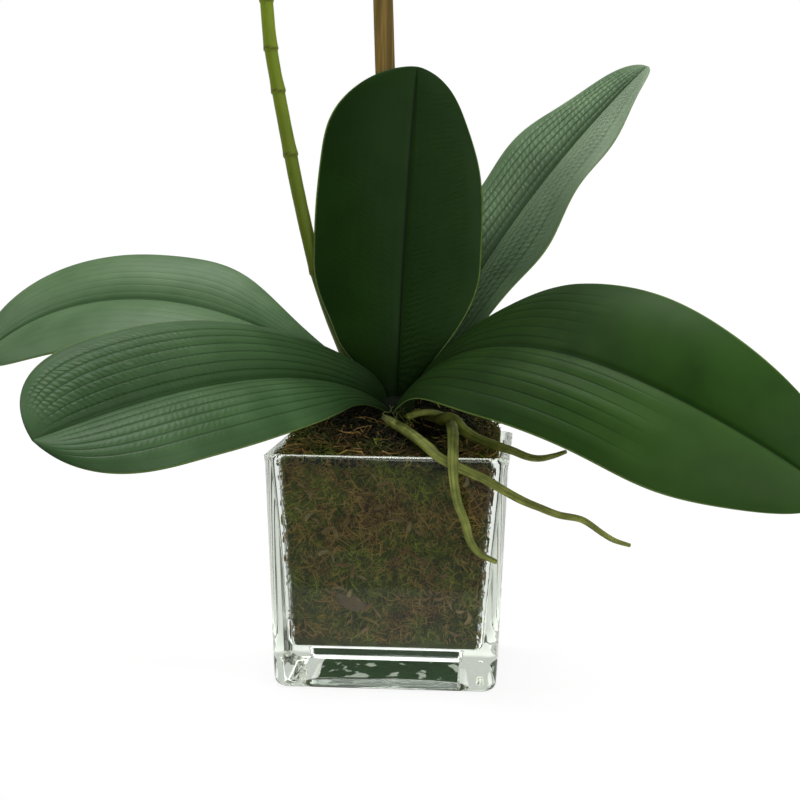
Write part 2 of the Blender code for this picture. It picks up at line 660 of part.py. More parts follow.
def bud_places():
    """Where each bud's centre is, its length, and where its stalk leaves the spike."""
    stations = arch_stations()
    places = []
    for index in range(BUDS):
        on_spike, along = arch_point(stations, BUD_FIRST + BUD_PITCH * index)
        side = -1 if index % 2 == 0 else 1
        out = Vector((-along.z, -0.35, along.x)).normalized() * side
        out.y = -abs(out.y) - 0.25
        length = mix(BUD_LENGTH, index / (BUDS - 1))
        centre = on_spike + out.normalized() * (BUD_SIDE + length / 2) + Vector((0, 0, -0.002))
        places.append((centre, length, on_spike))
    return places


def stalk(name, start, end, leaving, arriving, radius, group):
    """A short curved flower stalk whose foot is sunk in the spike."""
    reach = (end - start).length
    points = []
    for step in range(5):
        t = step / 4
        a, b, c = start, start + leaving * reach * 0.5, end - arriving * reach * 0.4
        point = (a * (1 - t) ** 3 + b * 3 * t * (1 - t) ** 2 + c * 3 * t ** 2 * (1 - t)
                 + end * t ** 3)
        points.append((point, radius * (1.25 - 0.35 * math.sin(math.pi * t))))
    return tube(name, points, group, sides_level=1)


def make_spike(group, spare):
    """The flower spike: its stem, the collar at each joint, and a stalk to every bloom."""
    route = smooth_route(SPIKE_ROUTE, SPIKE_SPACING)
    pieces = [tube("stem", route, group)]
    for height in SPIKE_JOINTS:
        for (low, low_radius), (high, _) in zip(route, route[1:]):
            if low.z <= height < high.z:
                break
        share = (height - low.z) / (high.z - low.z)
        along = (high - low).normalized()
        centre = low.lerp(high, share) + along * JOINT_LENGTH / 2
        bm = bmesh.new()
        bmesh.ops.create_cone(bm, cap_ends=True, segments=10, radius1=low_radius + JOINT_COLLAR,
                              radius2=low_radius + JOINT_COLLAR * 0.3, depth=JOINT_LENGTH,
                              matrix=Matrix.Translation(centre)
                              @ along.to_track_quat("Z", "Y").to_matrix().to_4x4())
        pieces.append(place("collar", mesh_from(bm, "collar"), group))
    for centre, turn, scale, on_spike in bloom_places():
        behind = turn.to_matrix() @ Vector((0.0, 1.0, 0.0))
        end = centre + behind * (HUB_RADIUS * scale + GAP)
        leaving = (end - on_spike).normalized()
        pieces.append(stalk("pedicel", on_spike, end, leaving, -behind, PEDICEL_RADIUS, group))
    for centre, length, on_spike in bud_places():
        towards = (centre - on_spike).normalized()
        end = centre - towards * (length / 2 + GAP)
        pieces.append(stalk("bud_stalk", on_spike, end, towards, towards, PEDICEL_RADIUS * 0.8,
                            group))
    fuse("flower_spike", pieces, group, material("spike_green", 0.150, 0.190, 0.022, 0.5), spare)


def make_roots(group, spare):
    """Aerial roots that creep out of the crown over the moss and the vase's rim."""
    finish = material("aerial_root", 0.150, 0.170, 0.035, 0.7)
    long_root = tube("root_long", smooth_route(ROOT_LONG, ROOT_SPACING), group)
    long_root.data.materials.append(finish)
    branches = [tube("branch", smooth_route(route, ROOT_SPACING), group)
                for route in ROOT_BRANCHES]
    fuse("root_branched", branches, group, finish, spare)


def petal(name, length, width, towards, layer, back, cup, group, columns):
    """One flat petal or sepal of a bloom that faces -Y, as a closed thin blade."""
    shape = dict(widest=0.55, tip=2.2)
    out = Vector((math.cos(math.radians(towards)), 0.0, math.sin(math.radians(towards))))
    side = Vector((-out.z, 0.0, out.x))
    bm = bmesh.new()
    bmesh.ops.create_grid(bm, x_segments=columns, y_segments=PETAL_ROWS, size=0.5)
    for vert in bm.verts:
        s = vert.co.x * 2
        t = 1 - (1 - (vert.co.y + 0.5)) ** 1.4
        share = half_width(shape, t, 0.22)
        depth = layer + back * t ** 2 + cup * s ** 2 * share
        vert.co = (out * (BLOOM_START + (length - BLOOM_START) * t) + side * s * width / 2 * share
                   + Vector((0.0, depth, 0.0)))
    bmesh.ops.remove_doubles(bm, verts=bm.verts, dist=0.00005)
    bmesh.ops.triangulate(bm, faces=bm.faces)
    thing = place(name, mesh_from(bm, name), group)
    blade = thing.modifiers.new("thickness", "SOLIDIFY")
    blade.thickness = BLOOM_THICKNESS
    blade.offset = 0.0
    return thing


def make_bloom_mesh(group, spare):
    """Sepals, petals and column of one bloom, fused into one white body."""
    bm = bmesh.new()
    bmesh.ops.create_icosphere(bm, subdivisions=2, radius=HUB_RADIUS)
    pieces = [place("hub", mesh_from(bm, "hub"), group)]
    for sepal in SEPALS:
        pieces.append(petal("sepal", group=group, columns=3, **sepal))
    for wing in PETALS:
        pieces.append(petal("petal", group=group, columns=5, **wing))
    bm = bmesh.new()
    bmesh.ops.create_cone(bm, cap_ends=True, segments=8, radius1=COLUMN_RADIUS * 0.8,
                          radius2=COLUMN_RADIUS, depth=COLUMN_LENGTH,
                          matrix=Matrix.Translation((0.0, -COLUMN_LENGTH / 2, 0.0))
                          @ Matrix.Rotation(math.radians(90), 4, "X"))
    pieces.append(place("column", mesh_from(bm, "column"), group))
    return fuse("bloom_shape", pieces, group, material("petal_white", 0.86, 0.85, 0.82, 0.55),
                spare)


def lip_lobe(name, start, out, side, curl_axis, length, width, curls, group):
    """A small lobe of the lip that starts in its core and curls as it goes."""
    shape = dict(widest=0.6, tip=2.4)
    bm = bmesh.new()
    bmesh.ops.create_grid(bm, x_segments=2, y_segments=3, size=0.5)
    for vert in bm.verts:
        t = vert.co.y + 0.5
        share = max(0.12, half_width(shape, t, 0.3))
        point = Vector(start)
        for step in range(8):
            angle = math.radians(mix(curls, t * (step + 0.5) / 8))
            point = point + (out * math.cos(angle) + curl_axis * math.sin(angle)) * length * t / 8
        lift = 0.0012 * (vert.co.x * 2) ** 2
        vert.co = point + side * vert.co.x * width * share + curl_axis * -lift
    bmesh.ops.triangulate(bm, faces=bm.faces)
    thing = place(name, mesh_from(bm, name), group)
    blade = thing.modifiers.new("thickness", "SOLIDIFY")
    blade.thickness = LIP_THICKNESS
    blade.offset = 0.0
    return thing


def make_lip_mesh(group, spare):
    """The lip: a tongue that dives forward and down, and a raised lobe at each side."""
    bm = bmesh.new()
    bmesh.ops.create_icosphere(bm, subdivisions=1, radius=LIP_CORE_RADIUS,
                               matrix=Matrix.Translation(LIP_CORE))
    pieces = [place("lip_core", mesh_from(bm, "lip_core"), group)]
    forward, down = Vector((0, -1, 0)), Vector((0, 0, -1))
    pieces.append(lip_lobe("tongue", LIP_CORE, forward, Vector((1, 0, 0)), down, LIP_LENGTH,
                           LIP_WIDTH, LIP_DIVE, group))
    for hand in (-1, 1):
        spread = math.radians(LOBE_SPREAD)
        out = Vector((hand * math.cos(spread), -0.55, math.sin(spread) * 0.6)).normalized()
        foot = LIP_CORE + Vector((hand * 0.001, -0.0016, 0))
        pieces.append(lip_lobe("side_lobe", foot, out, forward, Vector((0, 0, 1)), LOBE_LENGTH,
                               LOBE_WIDTH, (0.0, 80.0), group))
    return fuse("lip_shape", pieces, group, material("lip_yellow", 0.72, 0.36, 0.05, 0.5), spare)


def make_blooms(group, spare):
    """Seven blooms in two shingled rows; each is placed by its own location and rotation."""
    bloom_shape = make_bloom_mesh(group, spare)
    lip_shape = make_lip_mesh(group, spare)
    for index, (centre, turn, scale, _) in enumerate(bloom_places()):
        for kind, shape in (("petals", bloom_shape), ("lip", lip_shape)):
            thing = bpy.data.objects.new(f"bloom_{index + 1}_{kind}", shape.data)
            group.objects.link(thing)
            thing.location = centre
            thing.rotation_euler = turn
            thing.scale = (scale, scale, scale)
    bpy.data.objects.remove(bloom_shape)
    bpy.data.objects.remove(lip_shape)


def make_buds(group):
    finish = material("bud_green", 0.42, 0.50, 0.22, 0.5)
    for index, (centre, length, on_spike) in enumerate(bud_places()):
        bm = bmesh.new()
        bmesh.ops.create_uvsphere(bm, u_segments=8, v_segments=6, radius=0.5)
        bmesh.ops.scale(bm, verts=bm.verts, vec=(length * 0.72, length * 0.62, length))
        turn = (centre - on_spike).to_track_quat("Z", "Y").to_matrix().to_4x4()
        bm.transform(Matrix.Translation(centre) @ turn)
        place(f"bud_{index + 1}", mesh_from(bm, "bud"), group, finish)


def build():
    for thing in list(bpy.data.objects):
        bpy.data.objects.remove(thing)
    arrangement = collection("orchid_arrangement")
    cutters = collection("cutters")
    spare = collection("being_joined")
    make_vase(arrangement, cutters)
    make_filling(arrangement, cutters, make_holes(cutters))
    crown_clearance = make_crown(arrangement, cutters)
    leaf_green = material("leaf_green", 0.030, 0.085, 0.025, 0.42)
    for name, leaf in LEAVES.items():
        make_leaf(name, leaf, arrangement, leaf_green, crown_clearance)
    make_stake(arrangement, spare)
    make_spike(arrangement, spare)
    make_tie(arrangement)
    make_roots(arrangement, spare)
    make_blooms(arrangement, spare)
    make_buds(arrangement)


build()
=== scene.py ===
"""Looks of the orchid arrangement: a moth orchid planted in moss in a pressed-glass cube vase.
Each section below is one piece, or one group of like pieces, in the order of assembly."""

import json
import math

import bmesh
import bpy
import numpy as np
from mathutils import Euler, Matrix, Vector, noise

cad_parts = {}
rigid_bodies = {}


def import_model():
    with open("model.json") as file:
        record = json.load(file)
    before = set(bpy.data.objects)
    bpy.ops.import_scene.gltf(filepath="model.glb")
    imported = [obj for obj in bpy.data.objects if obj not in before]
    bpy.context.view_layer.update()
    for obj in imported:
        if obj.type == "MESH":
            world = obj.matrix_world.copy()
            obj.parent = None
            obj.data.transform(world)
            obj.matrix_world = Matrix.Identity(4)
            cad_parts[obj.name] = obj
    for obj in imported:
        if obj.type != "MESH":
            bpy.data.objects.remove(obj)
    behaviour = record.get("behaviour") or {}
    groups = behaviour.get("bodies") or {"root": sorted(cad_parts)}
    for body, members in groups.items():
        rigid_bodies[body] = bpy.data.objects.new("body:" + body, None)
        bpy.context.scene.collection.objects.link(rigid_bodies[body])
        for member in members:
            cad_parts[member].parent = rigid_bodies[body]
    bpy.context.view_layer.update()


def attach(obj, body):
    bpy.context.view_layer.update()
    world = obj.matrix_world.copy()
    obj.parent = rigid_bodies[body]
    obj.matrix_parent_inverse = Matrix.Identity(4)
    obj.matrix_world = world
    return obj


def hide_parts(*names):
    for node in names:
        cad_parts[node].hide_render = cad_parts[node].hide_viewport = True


for thing in list(bpy.data.objects):
    bpy.data.objects.remove(thing)
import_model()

# The studio: a pale floor that runs out of sight, a bright sweep behind and above, a dimmer
# room in front, and soft boxes overhead. None of it is part of the arrangement.
# The camera stands where the photograph's did, found from the vase's rim, foot and corners.
scene = bpy.context.scene
scene.view_settings.view_transform = "Standard"
# Light may turn many times inside the thick glass before it comes out again.
scene.cycles.max_bounces, scene.cycles.glossy_bounces = 24, 16
scene.cycles.transmission_bounces = 20
CAMERA_PLACE = (0.080, -1.014, 0.248)
CAMERA_YAW, CAMERA_PITCH, CAMERA_ROLL = 4.36, 5.73, 0.53
camera = bpy.data.objects.new("camera", bpy.data.cameras.new("camera"))
camera.data.lens = 85.0
camera.data.sensor_width = 36.0
camera.matrix_world = (Matrix.Translation(CAMERA_PLACE)
                       @ Matrix.Rotation(math.radians(CAMERA_YAW), 4, "Z")
                       @ Matrix.Rotation(math.radians(90 - CAMERA_PITCH), 4, "X")
                       @ Matrix.Rotation(math.radians(CAMERA_ROLL), 4, "Z"))
scene.collection.objects.link(camera)
scene.camera = camera


def srgb(code):
    """An sRGB hex code as linear red, green and blue, with a full alpha."""
    parts = [int(code[i:i + 2], 16) / 255 for i in (1, 3, 5)]
    return (*(p / 12.92 if p <= 0.04045 else ((p + 0.055) / 1.055) ** 2.4 for p in parts), 1.0)


def outlet(source):
    """The first live output of a node. Anything else stands for itself."""
    if isinstance(source, bpy.types.Node):
        return next(socket for socket in source.outputs if socket.enabled)
    return source


def add(tree, kind, inputs=None, **settings):
    """Adds a node with its settings, and fills its inputs with values, sockets or nodes."""
    made = tree.nodes.new(kind)
    for name, value in settings.items():
        setattr(made, name, value)
    for key, value in (inputs or {}).items():
        if isinstance(key, int):
            socket = made.inputs[key]
        else:
            socket = next(s for s in made.inputs if s.enabled and s.name == key)
        value = outlet(value)
        if isinstance(value, bpy.types.NodeSocket):
            tree.links.new(value, socket)
        else:
            socket.default_value = value
    return made


def blank_material(name, look):
    """A material with one Principled shader set to this look, ready for its pattern."""
    made = bpy.data.materials.new(name)
    made.use_nodes = True
    shader = made.node_tree.nodes["Principled BSDF"]
    for socket, value in look.items():
        shader.inputs[socket].default_value = value
    return made, made.node_tree, shader


def link(tree, source, target, name):
    """Feeds an input of a node that is already there from another node or a socket."""
    tree.links.new(outlet(source), target.inputs[name])


FLOOR_REACH, FLOOR_FRONT = 30.0, -0.25
floor_mesh = bpy.data.meshes.new("studio_floor")
floor_mesh.from_pydata([(x * FLOOR_REACH, y, 0.0) for x, y in (
    (-1, FLOOR_FRONT), (1, FLOOR_FRONT), (1, FLOOR_REACH), (-1, FLOOR_REACH))], [], [(0, 1, 2, 3)])
floor = bpy.data.objects.new("studio_floor", floor_mesh)
scene.collection.objects.link(floor)
# A light table: white acrylic lit from below. The glow is least in the middle, apart from a
# bright spot under the vase, which light through the glass finds and which fills its base. A
# black card in front, out of the picture, keeps the table's glare off the glass.
GLOW_REACH, CARD_EDGE, CARD_DIMS = (0.15, 0.8), -0.05, 0.3
SPOT_REACH, SPOT_BOOST = (0.07, 0.15), 1.9
floor_paint, tree, shader = blank_material("lit_white_acrylic", {
    "Roughness": 0.9, "Specular IOR Level": 0.05, "Emission Color": (1.0, 1.0, 1.0, 1.0)})
place = add(tree, "ShaderNodeTexCoord").outputs["Object"]
path = add(tree, "ShaderNodeLightPath").outputs
far_out = add(tree, "ShaderNodeVectorMath", {0: place}, operation="LENGTH")
mirrored = add(tree, "ShaderNodeMath", {0: path["Glossy Depth"], 1: 0.5},
               operation="GREATER_THAN")
in_front = add(tree, "ShaderNodeMath", {0: add(tree, "ShaderNodeSeparateXYZ", {
    "Vector": place}).outputs["Y"], 1: CARD_EDGE}, operation="LESS_THAN")
glare = add(tree, "ShaderNodeMath", {0: mirrored, 1: in_front}, operation="MULTIPLY")
carded = add(tree, "ShaderNodeMapRange", {"Value": glare, "To Min": 1.0, "To Max": CARD_DIMS})
under_glass = add(tree, "ShaderNodeMapRange", {"Value": far_out, "From Min": SPOT_REACH[0],
                  "From Max": SPOT_REACH[1], "To Min": SPOT_BOOST, "To Max": 1.0})
through = add(tree, "ShaderNodeMapRange", {"Value": path["Is Transmission Ray"],
              "To Min": 1.0, "To Max": under_glass})
glow, white = [add(tree, "ShaderNodeMapRange", {
    "Value": far_out, "From Min": GLOW_REACH[0], "From Max": GLOW_REACH[1],
    "To Min": middle, "To Max": edge}) for middle, edge in ((0.86, 1.02), (0.20, 0.0))]
glow = add(tree, "ShaderNodeMath", {0: glow, 1: through}, operation="MULTIPLY")
glow = add(tree, "ShaderNodeMath", {0: glow, 1: carded}, operation="MULTIPLY")
white = add(tree, "ShaderNodeMath", {0: white, 1: carded}, operation="MULTIPLY")
link(tree, glow, shader, "Emission Strength")
link(tree, add(tree, "ShaderNodeCombineColor", {"Red": white, "Green": white, "Blue": white}),
     shader, "Base Color")
floor_mesh.materials.append(floor_paint)

# The room: bright behind and above, dim in front. What light finds of it through the glass, or
# by way of a surface, is set apart from the plain white that the camera sees.
ROOM_DIM, ROOM_THROUGH_GLASS = 0.16, 0.22
SKY_FILL, SKY_THROUGH_GLASS = 0.30, 0.88
BEHIND_FROM, ABOVE_FROM = (-0.20, 0.85), (0.35, 0.75)
world = bpy.data.worlds.new("studio_sweep")
world.use_nodes = True
scene.world = world
tree = world.node_tree
tree.nodes.clear()
way = add(tree, "ShaderNodeSeparateXYZ", {
    "Vector": add(tree, "ShaderNodeTexCoord").outputs["Generated"]}).outputs
behind, above = [add(tree, "ShaderNodeMapRange", {
    "Value": way[axis], "From Min": reach[0], "From Max": reach[1]},
    interpolation_type="SMOOTHSTEP") for axis, reach in (("Y", BEHIND_FROM), ("Z", ABOVE_FROM))]
open_sky = add(tree, "ShaderNodeMath", {0: behind, 1: above}, operation="MAXIMUM")
path = add(tree, "ShaderNodeLightPath").outputs
dim, fill = [add(tree, "ShaderNodeMapRange", {
    "Value": path["Is Transmission Ray"], "To Min": plain, "To Max": glassy})
    for plain, glassy in ((ROOM_DIM, ROOM_THROUGH_GLASS), (SKY_FILL, SKY_THROUGH_GLASS))]
room = add(tree, "ShaderNodeMapRange", {"Value": open_sky, "To Min": dim})
filled = add(tree, "ShaderNodeMath", {0: room, 1: fill}, operation="MULTIPLY")
seen = add(tree, "ShaderNodeMix", {"Factor": path["Is Camera Ray"], "A": filled, "B": 1.0},
           data_type="FLOAT")
sky = add(tree, "ShaderNodeBackground", {"Color": (1.0, 1.0, 1.0, 1.0), "Strength": seen})
add(tree, "ShaderNodeOutputWorld", {"Surface": sky})

for name, place, aim, size, power in (
        ("top_box", (-0.15, 0.20, 1.55), (0.0, 0.0, 0.15), 0.8, 15.0),
        ("left_box", (-1.3, -0.2, 1.0), (0.0, 0.0, 0.2), 0.9, 6.0),
        ("right_box", (1.2, -0.7, 0.9), (0.1, 0.0, 0.2), 0.9, 9.0),
        ("front_box", (0.4, -1.7, 0.5), (0.0, 0.0, 0.1), 1.2, 10.0)):
    box = bpy.data.objects.new(name, bpy.data.lights.new(name, "AREA"))
    box.data.size = size
    box.data.energy = power
    box.location = place
    box.rotation_mode = "QUATERNION"
    box.rotation_quaternion = (Vector(aim) - Vector(place)).to_track_quat("-Z", "Y")
    scene.collection.objects.link(box)

# The vase: a cube of thick clear soda-lime glass, pressed in a mould. Its walls narrow to the
# foot, its lip was melted round in a flame and flares a little, and the base is solid glass.
VASE_HEIGHT = 0.123
VASE_RIM, VASE_FOOT = 0.1268, 0.116
VASE_FLOOR = 0.0215
WALL_RIM, WALL_FLOOR = 0.0057, 0.0082
FOOT_ROUND, LIP_ROUND, LIP_FLARE = 0.005, 0.0018, 0.0012
OUTER_CORNER, INNER_CORNER = 0.008, 0.0065
OUTER_RIPPLE, INNER_RIPPLE = 0.00012, 0.00025
FILLET_FRONT, FILLET_SIDE = 0.0012, 0.0032
FILLET_TOP, FLOOR_DIP = 0.0034, 0.0075
CORNER_STEPS, SIDE_STEPS, WALL_STEPS = 8, 6, 14


def mix(pair, share):
    """The value, or the values, at this share of the way from the first to the second."""
    return pair[0] + (pair[1] - pair[0]) * share


def square_ring(half, corner, height, wave=0.0):
    """Points of a square with rounded corners, seen from above, at one height."""
    points = []
    for quarter in range(4):
        for step in range(CORNER_STEPS + 1):
            angle = math.radians(90 * quarter + 90 * step / CORNER_STEPS)
            turn = Matrix.Rotation(math.radians(90 * quarter), 2)
            centre = turn @ Vector((half - corner, half - corner))
            points.append((centre.x + corner * math.cos(angle),
                           centre.y + corner * math.sin(angle)))
        start = points[-1]
        end = Matrix.Rotation(math.radians(90 * (quarter + 1)), 2) @ Vector((half, half - corner))
        for step in range(1, SIDE_STEPS):
            points.append((mix((start[0], end.x), step / SIDE_STEPS),
                           mix((start[1], end.y), step / SIDE_STEPS)))
    ring = []
    for x, y in points:
        ripple = wave * noise.noise(Vector((x * 30, y * 30, height * 22)))
        ring.append((x * (1 + ripple / half), y * (1 + ripple / half), height))
    return ring


def loft(name, rings):
    """A closed skin through rings of points, with its first and last ring filled in."""
    count = len(rings[0])
    faces = [[ring * count + i, ring * count + (i + 1) % count,
              (ring + 1) * count + (i + 1) % count, (ring + 1) * count + i]
             for ring in range(len(rings) - 1) for i in range(count)]
    faces.append(list(range(count))[::-1])
    faces.append([(len(rings) - 1) * count + i for i in range(count)])
    mesh = bpy.data.meshes.new(name)
    mesh.from_pydata([point for ring in rings for point in ring], [], faces)
    mesh.update()
    return mesh


def finished(name, mesh, finish, slot, *nodes, smooth=True):
    """Shows a finished mesh as a piece of the plant in place of its plain CAD solids."""
    if smooth:
        mesh.shade_smooth()
    thing = bpy.data.objects.new(name, mesh)
    mesh.materials.clear()
    mesh.materials.append(finish)
    scene.collection.objects.link(thing)
    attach(thing, "root")
    if nodes:
        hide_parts(*nodes)


def outer_half(height):
    """Half the vase's width outside, at a height below the flare of its lip."""
    return mix((VASE_FOOT, VASE_RIM - LIP_FLARE), height / VASE_HEIGHT) / 2


def inner_half(height):
    """Half the vase's width inside."""
    share = (height - VASE_FLOOR) / (VASE_HEIGHT - VASE_FLOOR)
    return mix((outer_half(VASE_FLOOR) - WALL_FLOOR, VASE_RIM / 2 - WALL_RIM), share)


# The sole is hollowed by the mould, in two steps, so that the vase stands on its border.
rings = []
SOLE_DISH, SOLE_STEP, DISH_HALF, STEP_AT = 0.0098, 0.0048, 0.0505, 0.0474
for half in (0.0025, 0.006, 0.010, 0.015, 0.020, 0.025, 0.030, 0.035, 0.040, 0.044, 0.0473,
             0.0475, 0.0490, DISH_HALF):
    ring = []
    for x, y, _ in square_ring(half, 0.010 * half / DISH_HALF, 0.0):
        if abs(y) < STEP_AT:
            rise = mix((SOLE_DISH, SOLE_STEP), math.hypot(y / STEP_AT, 0.06))
        else:
            rise = max(0.0, DISH_HALF - abs(y))
        ring.append((x, y, 0.0001 + rise * max(0.0, 1 - abs(x / DISH_HALF) ** 6)))
    rings.append(ring)
rings.append(square_ring(VASE_FOOT / 2 * 0.90, 0.0075, 0.0))
for step in range(5):
    angle = math.radians(22.5 * step)
    rings.append(square_ring(VASE_FOOT / 2 - FOOT_ROUND + FOOT_ROUND * math.sin(angle),
                             0.004 + 0.004 * math.sin(angle),
                             FOOT_ROUND - FOOT_ROUND * math.cos(angle)))
# The skin goes on up the outside, over the lip and down the inside to the floor.
for step in range(1, WALL_STEPS + 1):
    height = mix((0.006, VASE_HEIGHT - 0.006), step / WALL_STEPS)
    rings.append(square_ring(outer_half(height), OUTER_CORNER, height, wave=OUTER_RIPPLE))
flare = VASE_RIM / 2 - outer_half(VASE_HEIGHT)
for share, below in ((0.45, 0.0040), (0.85, 0.0028), (1.0, LIP_ROUND)):
    rings.append(square_ring(outer_half(VASE_HEIGHT - below) + flare * share, 0.0082,
                             VASE_HEIGHT - below))
lip_half = WALL_RIM * 0.46
for step in range(1, 7):
    angle = math.radians(180 * step / 7)
    rings.append(square_ring(VASE_RIM / 2 - lip_half + lip_half * math.cos(angle), 0.0075,
                             VASE_HEIGHT - LIP_ROUND + LIP_ROUND * math.sin(angle)))


def fillet_at(x, y):
    """The radius from wall to floor: wider at the sides than in front and behind."""
    return mix((FILLET_FRONT, FILLET_SIDE),
               min(1.0, max(0.0, 0.5 + (abs(x) - abs(y)) / 0.006)))


for step in range(WALL_STEPS + 1):
    height = mix((VASE_HEIGHT - 0.003, VASE_FLOOR + FILLET_TOP), step / WALL_STEPS)
    rings.append(square_ring(inner_half(height), INNER_CORNER, height, wave=INNER_RIPPLE))
for step in range(1, 6):
    angle = math.radians(18 * step)
    ring = []
    for x, y, _ in square_ring(inner_half(VASE_FLOOR), INNER_CORNER - 0.002 * math.sin(angle),
                               0.0):
        pull = 1 - fillet_at(x, y) * (1 - math.cos(angle)) / inner_half(VASE_FLOOR)
        ring.append((x * pull, y * pull,
                     VASE_FLOOR + fillet_at(x, y) * (1 - math.sin(angle))))
    rings.append(ring)
# A square dip in the middle of the floor, in which the foam stands.
for half, dip in ((0.0415, 0.0), (0.0402, 0.4), (0.0398, 1.0), (0.020, 1.0)):
    rings.append(square_ring(half, 0.003, VASE_FLOOR - 0.0002 - FLOOR_DIP * dip))

# Clear soda-lime glass, with its iron showing as a faint grey green. Its thick parts, seen
# along a wall, are greyer than the thin front.
clear_glass, tree, shader = blank_material("pressed_soda_lime_glass", {
    "Base Color": srgb("#e9efe9"), "Transmission Weight": 1.0, "IOR": 1.51,
    "Specular IOR Level": 0.3, "Roughness": 0.0})
depth = add(tree, "ShaderNodeVolumeAbsorption", {"Color": srgb("#bdc1ae"), "Density": 4.2})
link(tree, depth, tree.nodes["Material Output"], "Volume")
finished("vase", loft("vase", rings), clear_glass, "clear_glass", "glass_vase")

# The foam: a block of dark green phenolic flower foam, cut with a knife, wedged in the vase and
# held to the glass with hot glue. It shows through the thick base as a dark green square.
FOAM_SIDE, FOAM_TOP = 0.078, 0.112
foam_foot = VASE_FLOOR - FLOOR_DIP
GAP = 0.0003
# Cut foam is dull and open, with cells of about 1 mm, which are drawn larger than they are.
foam, tree, shader = blank_material("cut_phenolic_foam", {"Roughness": 0.95})
place = add(tree, "ShaderNodeTexCoord").outputs["Object"]
cells = add(tree, "ShaderNodeTexVoronoi", {"Vector": place, "Scale": 900.0})
tone = add(tree, "ShaderNodeMix", {"Factor": cells, "A": srgb("#153806"),
           "B": srgb("#204a0c")}, data_type="RGBA")
# The blobs of hardened glue, about 1 cm across, are on its underside alone. Their pale colour is
# partly the glue's own and partly painted glints of the air bubbles in it.
low = add(tree, "ShaderNodeMapRange", {"Value": add(tree, "ShaderNodeSeparateXYZ", {
    "Vector": place}).outputs["Z"], "From Min": 0.0139, "From Max": 0.0141, "To Min": 1.0,
    "To Max": 0.0})
blob = add(tree, "ShaderNodeTexNoise", {"Vector": place, "Scale": 95.0, "Detail": 3.0})
blob = add(tree, "ShaderNodeMapRange", {"Value": blob, "From Min": 0.57, "From Max": 0.61})
under = add(tree, "ShaderNodeMath", {0: low, 1: blob}, operation="MULTIPLY")
glue_and_glints = add(tree, "ShaderNodeMix", {"Factor": under, "A": tone, "B": srgb("#d5dbd0")},
            data_type="RGBA")
link(tree, glue_and_glints, shader, "Base Color")
dents = add(tree, "ShaderNodeBump", {"Height": cells, "Strength": 0.2, "Distance": 0.0006})
link(tree, dents, shader, "Normal")
foam_rings = [square_ring(FOAM_SIDE / 2 - inset, 0.002, height) for inset, height in (
    (0.0004, foam_foot - 0.0006), (0.0, VASE_FLOOR + 0.001), (0.0, 0.05), (0.0, 0.08),
    (0.0, FOAM_TOP - 0.001), (0.0006, FOAM_TOP - 0.0002))]
finished("flower_foam", loft("flower_foam", foam_rings), foam, "floral_foam", "foam_block",
         smooth=False)

# The moss: preserved sheet moss, green and brown, packed flat between the foam and the glass
# and heaped over the foam. A dark mat carries thousands of fine curled strands.
WALL_MOSS_GAP, WALL_MOSS_TOP = 0.0022, 0.1165
MOUND_HALF, MOUND_SIDE_GAP, MOUND_STEPS = 0.0555, 0.0027, 60
MOUND_BORDER, MOUND_RISE = 0.1180, (0.0205, 0.0225)


def moss_height(x, y):
    """The mound's height: the same lumpy rise as the solid's, with finer lumps on it."""
    across = 1 - min(1.0, abs(x / MOUND_HALF)) ** 4
    back = min(1.0, abs(y / MOUND_HALF))
    along = 1 - (back ** 0.7 if y < 0 else back ** 5)
    rise = mix(MOUND_RISE, min(max(y / 0.020, 0.0), 1.0))
    height = MOUND_BORDER + rise * across * along
    for lump, scale, shift, level in ((0.0015, 75.0, 0.0, 0.3), (0.0011, 210.0, 4.0, 0.1)):
        height += lump * noise.noise(Vector((x * scale + shift, y * scale, level * scale)))
    return height


def plain_mesh(name, bm):
    """Ends the editing of a mesh, and keeps it under this name."""
    mesh = bpy.data.meshes.new(name)
    bm.to_mesh(mesh)
    bm.free()
    return mesh


def mound_mesh():
    """The closed mound: a grid raised to its height, with its border dropped to the foam."""
    half = inner_half(0.1185) - MOUND_SIDE_GAP
    low_half = inner_half(0.112) - MOUND_SIDE_GAP
    bm = bmesh.new()
    bmesh.ops.create_grid(bm, x_segments=MOUND_STEPS, y_segments=MOUND_STEPS, size=half)
    for vert in bm.verts:
        x, y = vert.co.x, vert.co.y
        pull = 1 - 0.055 * min(abs(x / half), abs(y / half)) ** 12
        vert.co = (x * pull, y * pull, moss_height(x, y))
    border = sorted((vert for vert in bm.verts if vert.is_boundary),
                    key=lambda vert: math.atan2(vert.co.y, vert.co.x))
    hem = [bm.verts.new((vert.co.x * low_half / half, vert.co.y * low_half / half,
                         FOAM_TOP + GAP)) for vert in border]
    for i in range(len(border)):
        bm.faces.new((border[i], border[i - 1], hem[i - 1], hem[i]))
    bm.faces.new(hem)
    bmesh.ops.recalc_face_normals(bm, faces=bm.faces)
    return plain_mesh("moss_mound", bm)


CROWN_MIDDLE = (0.004, 0.0, 0.0)


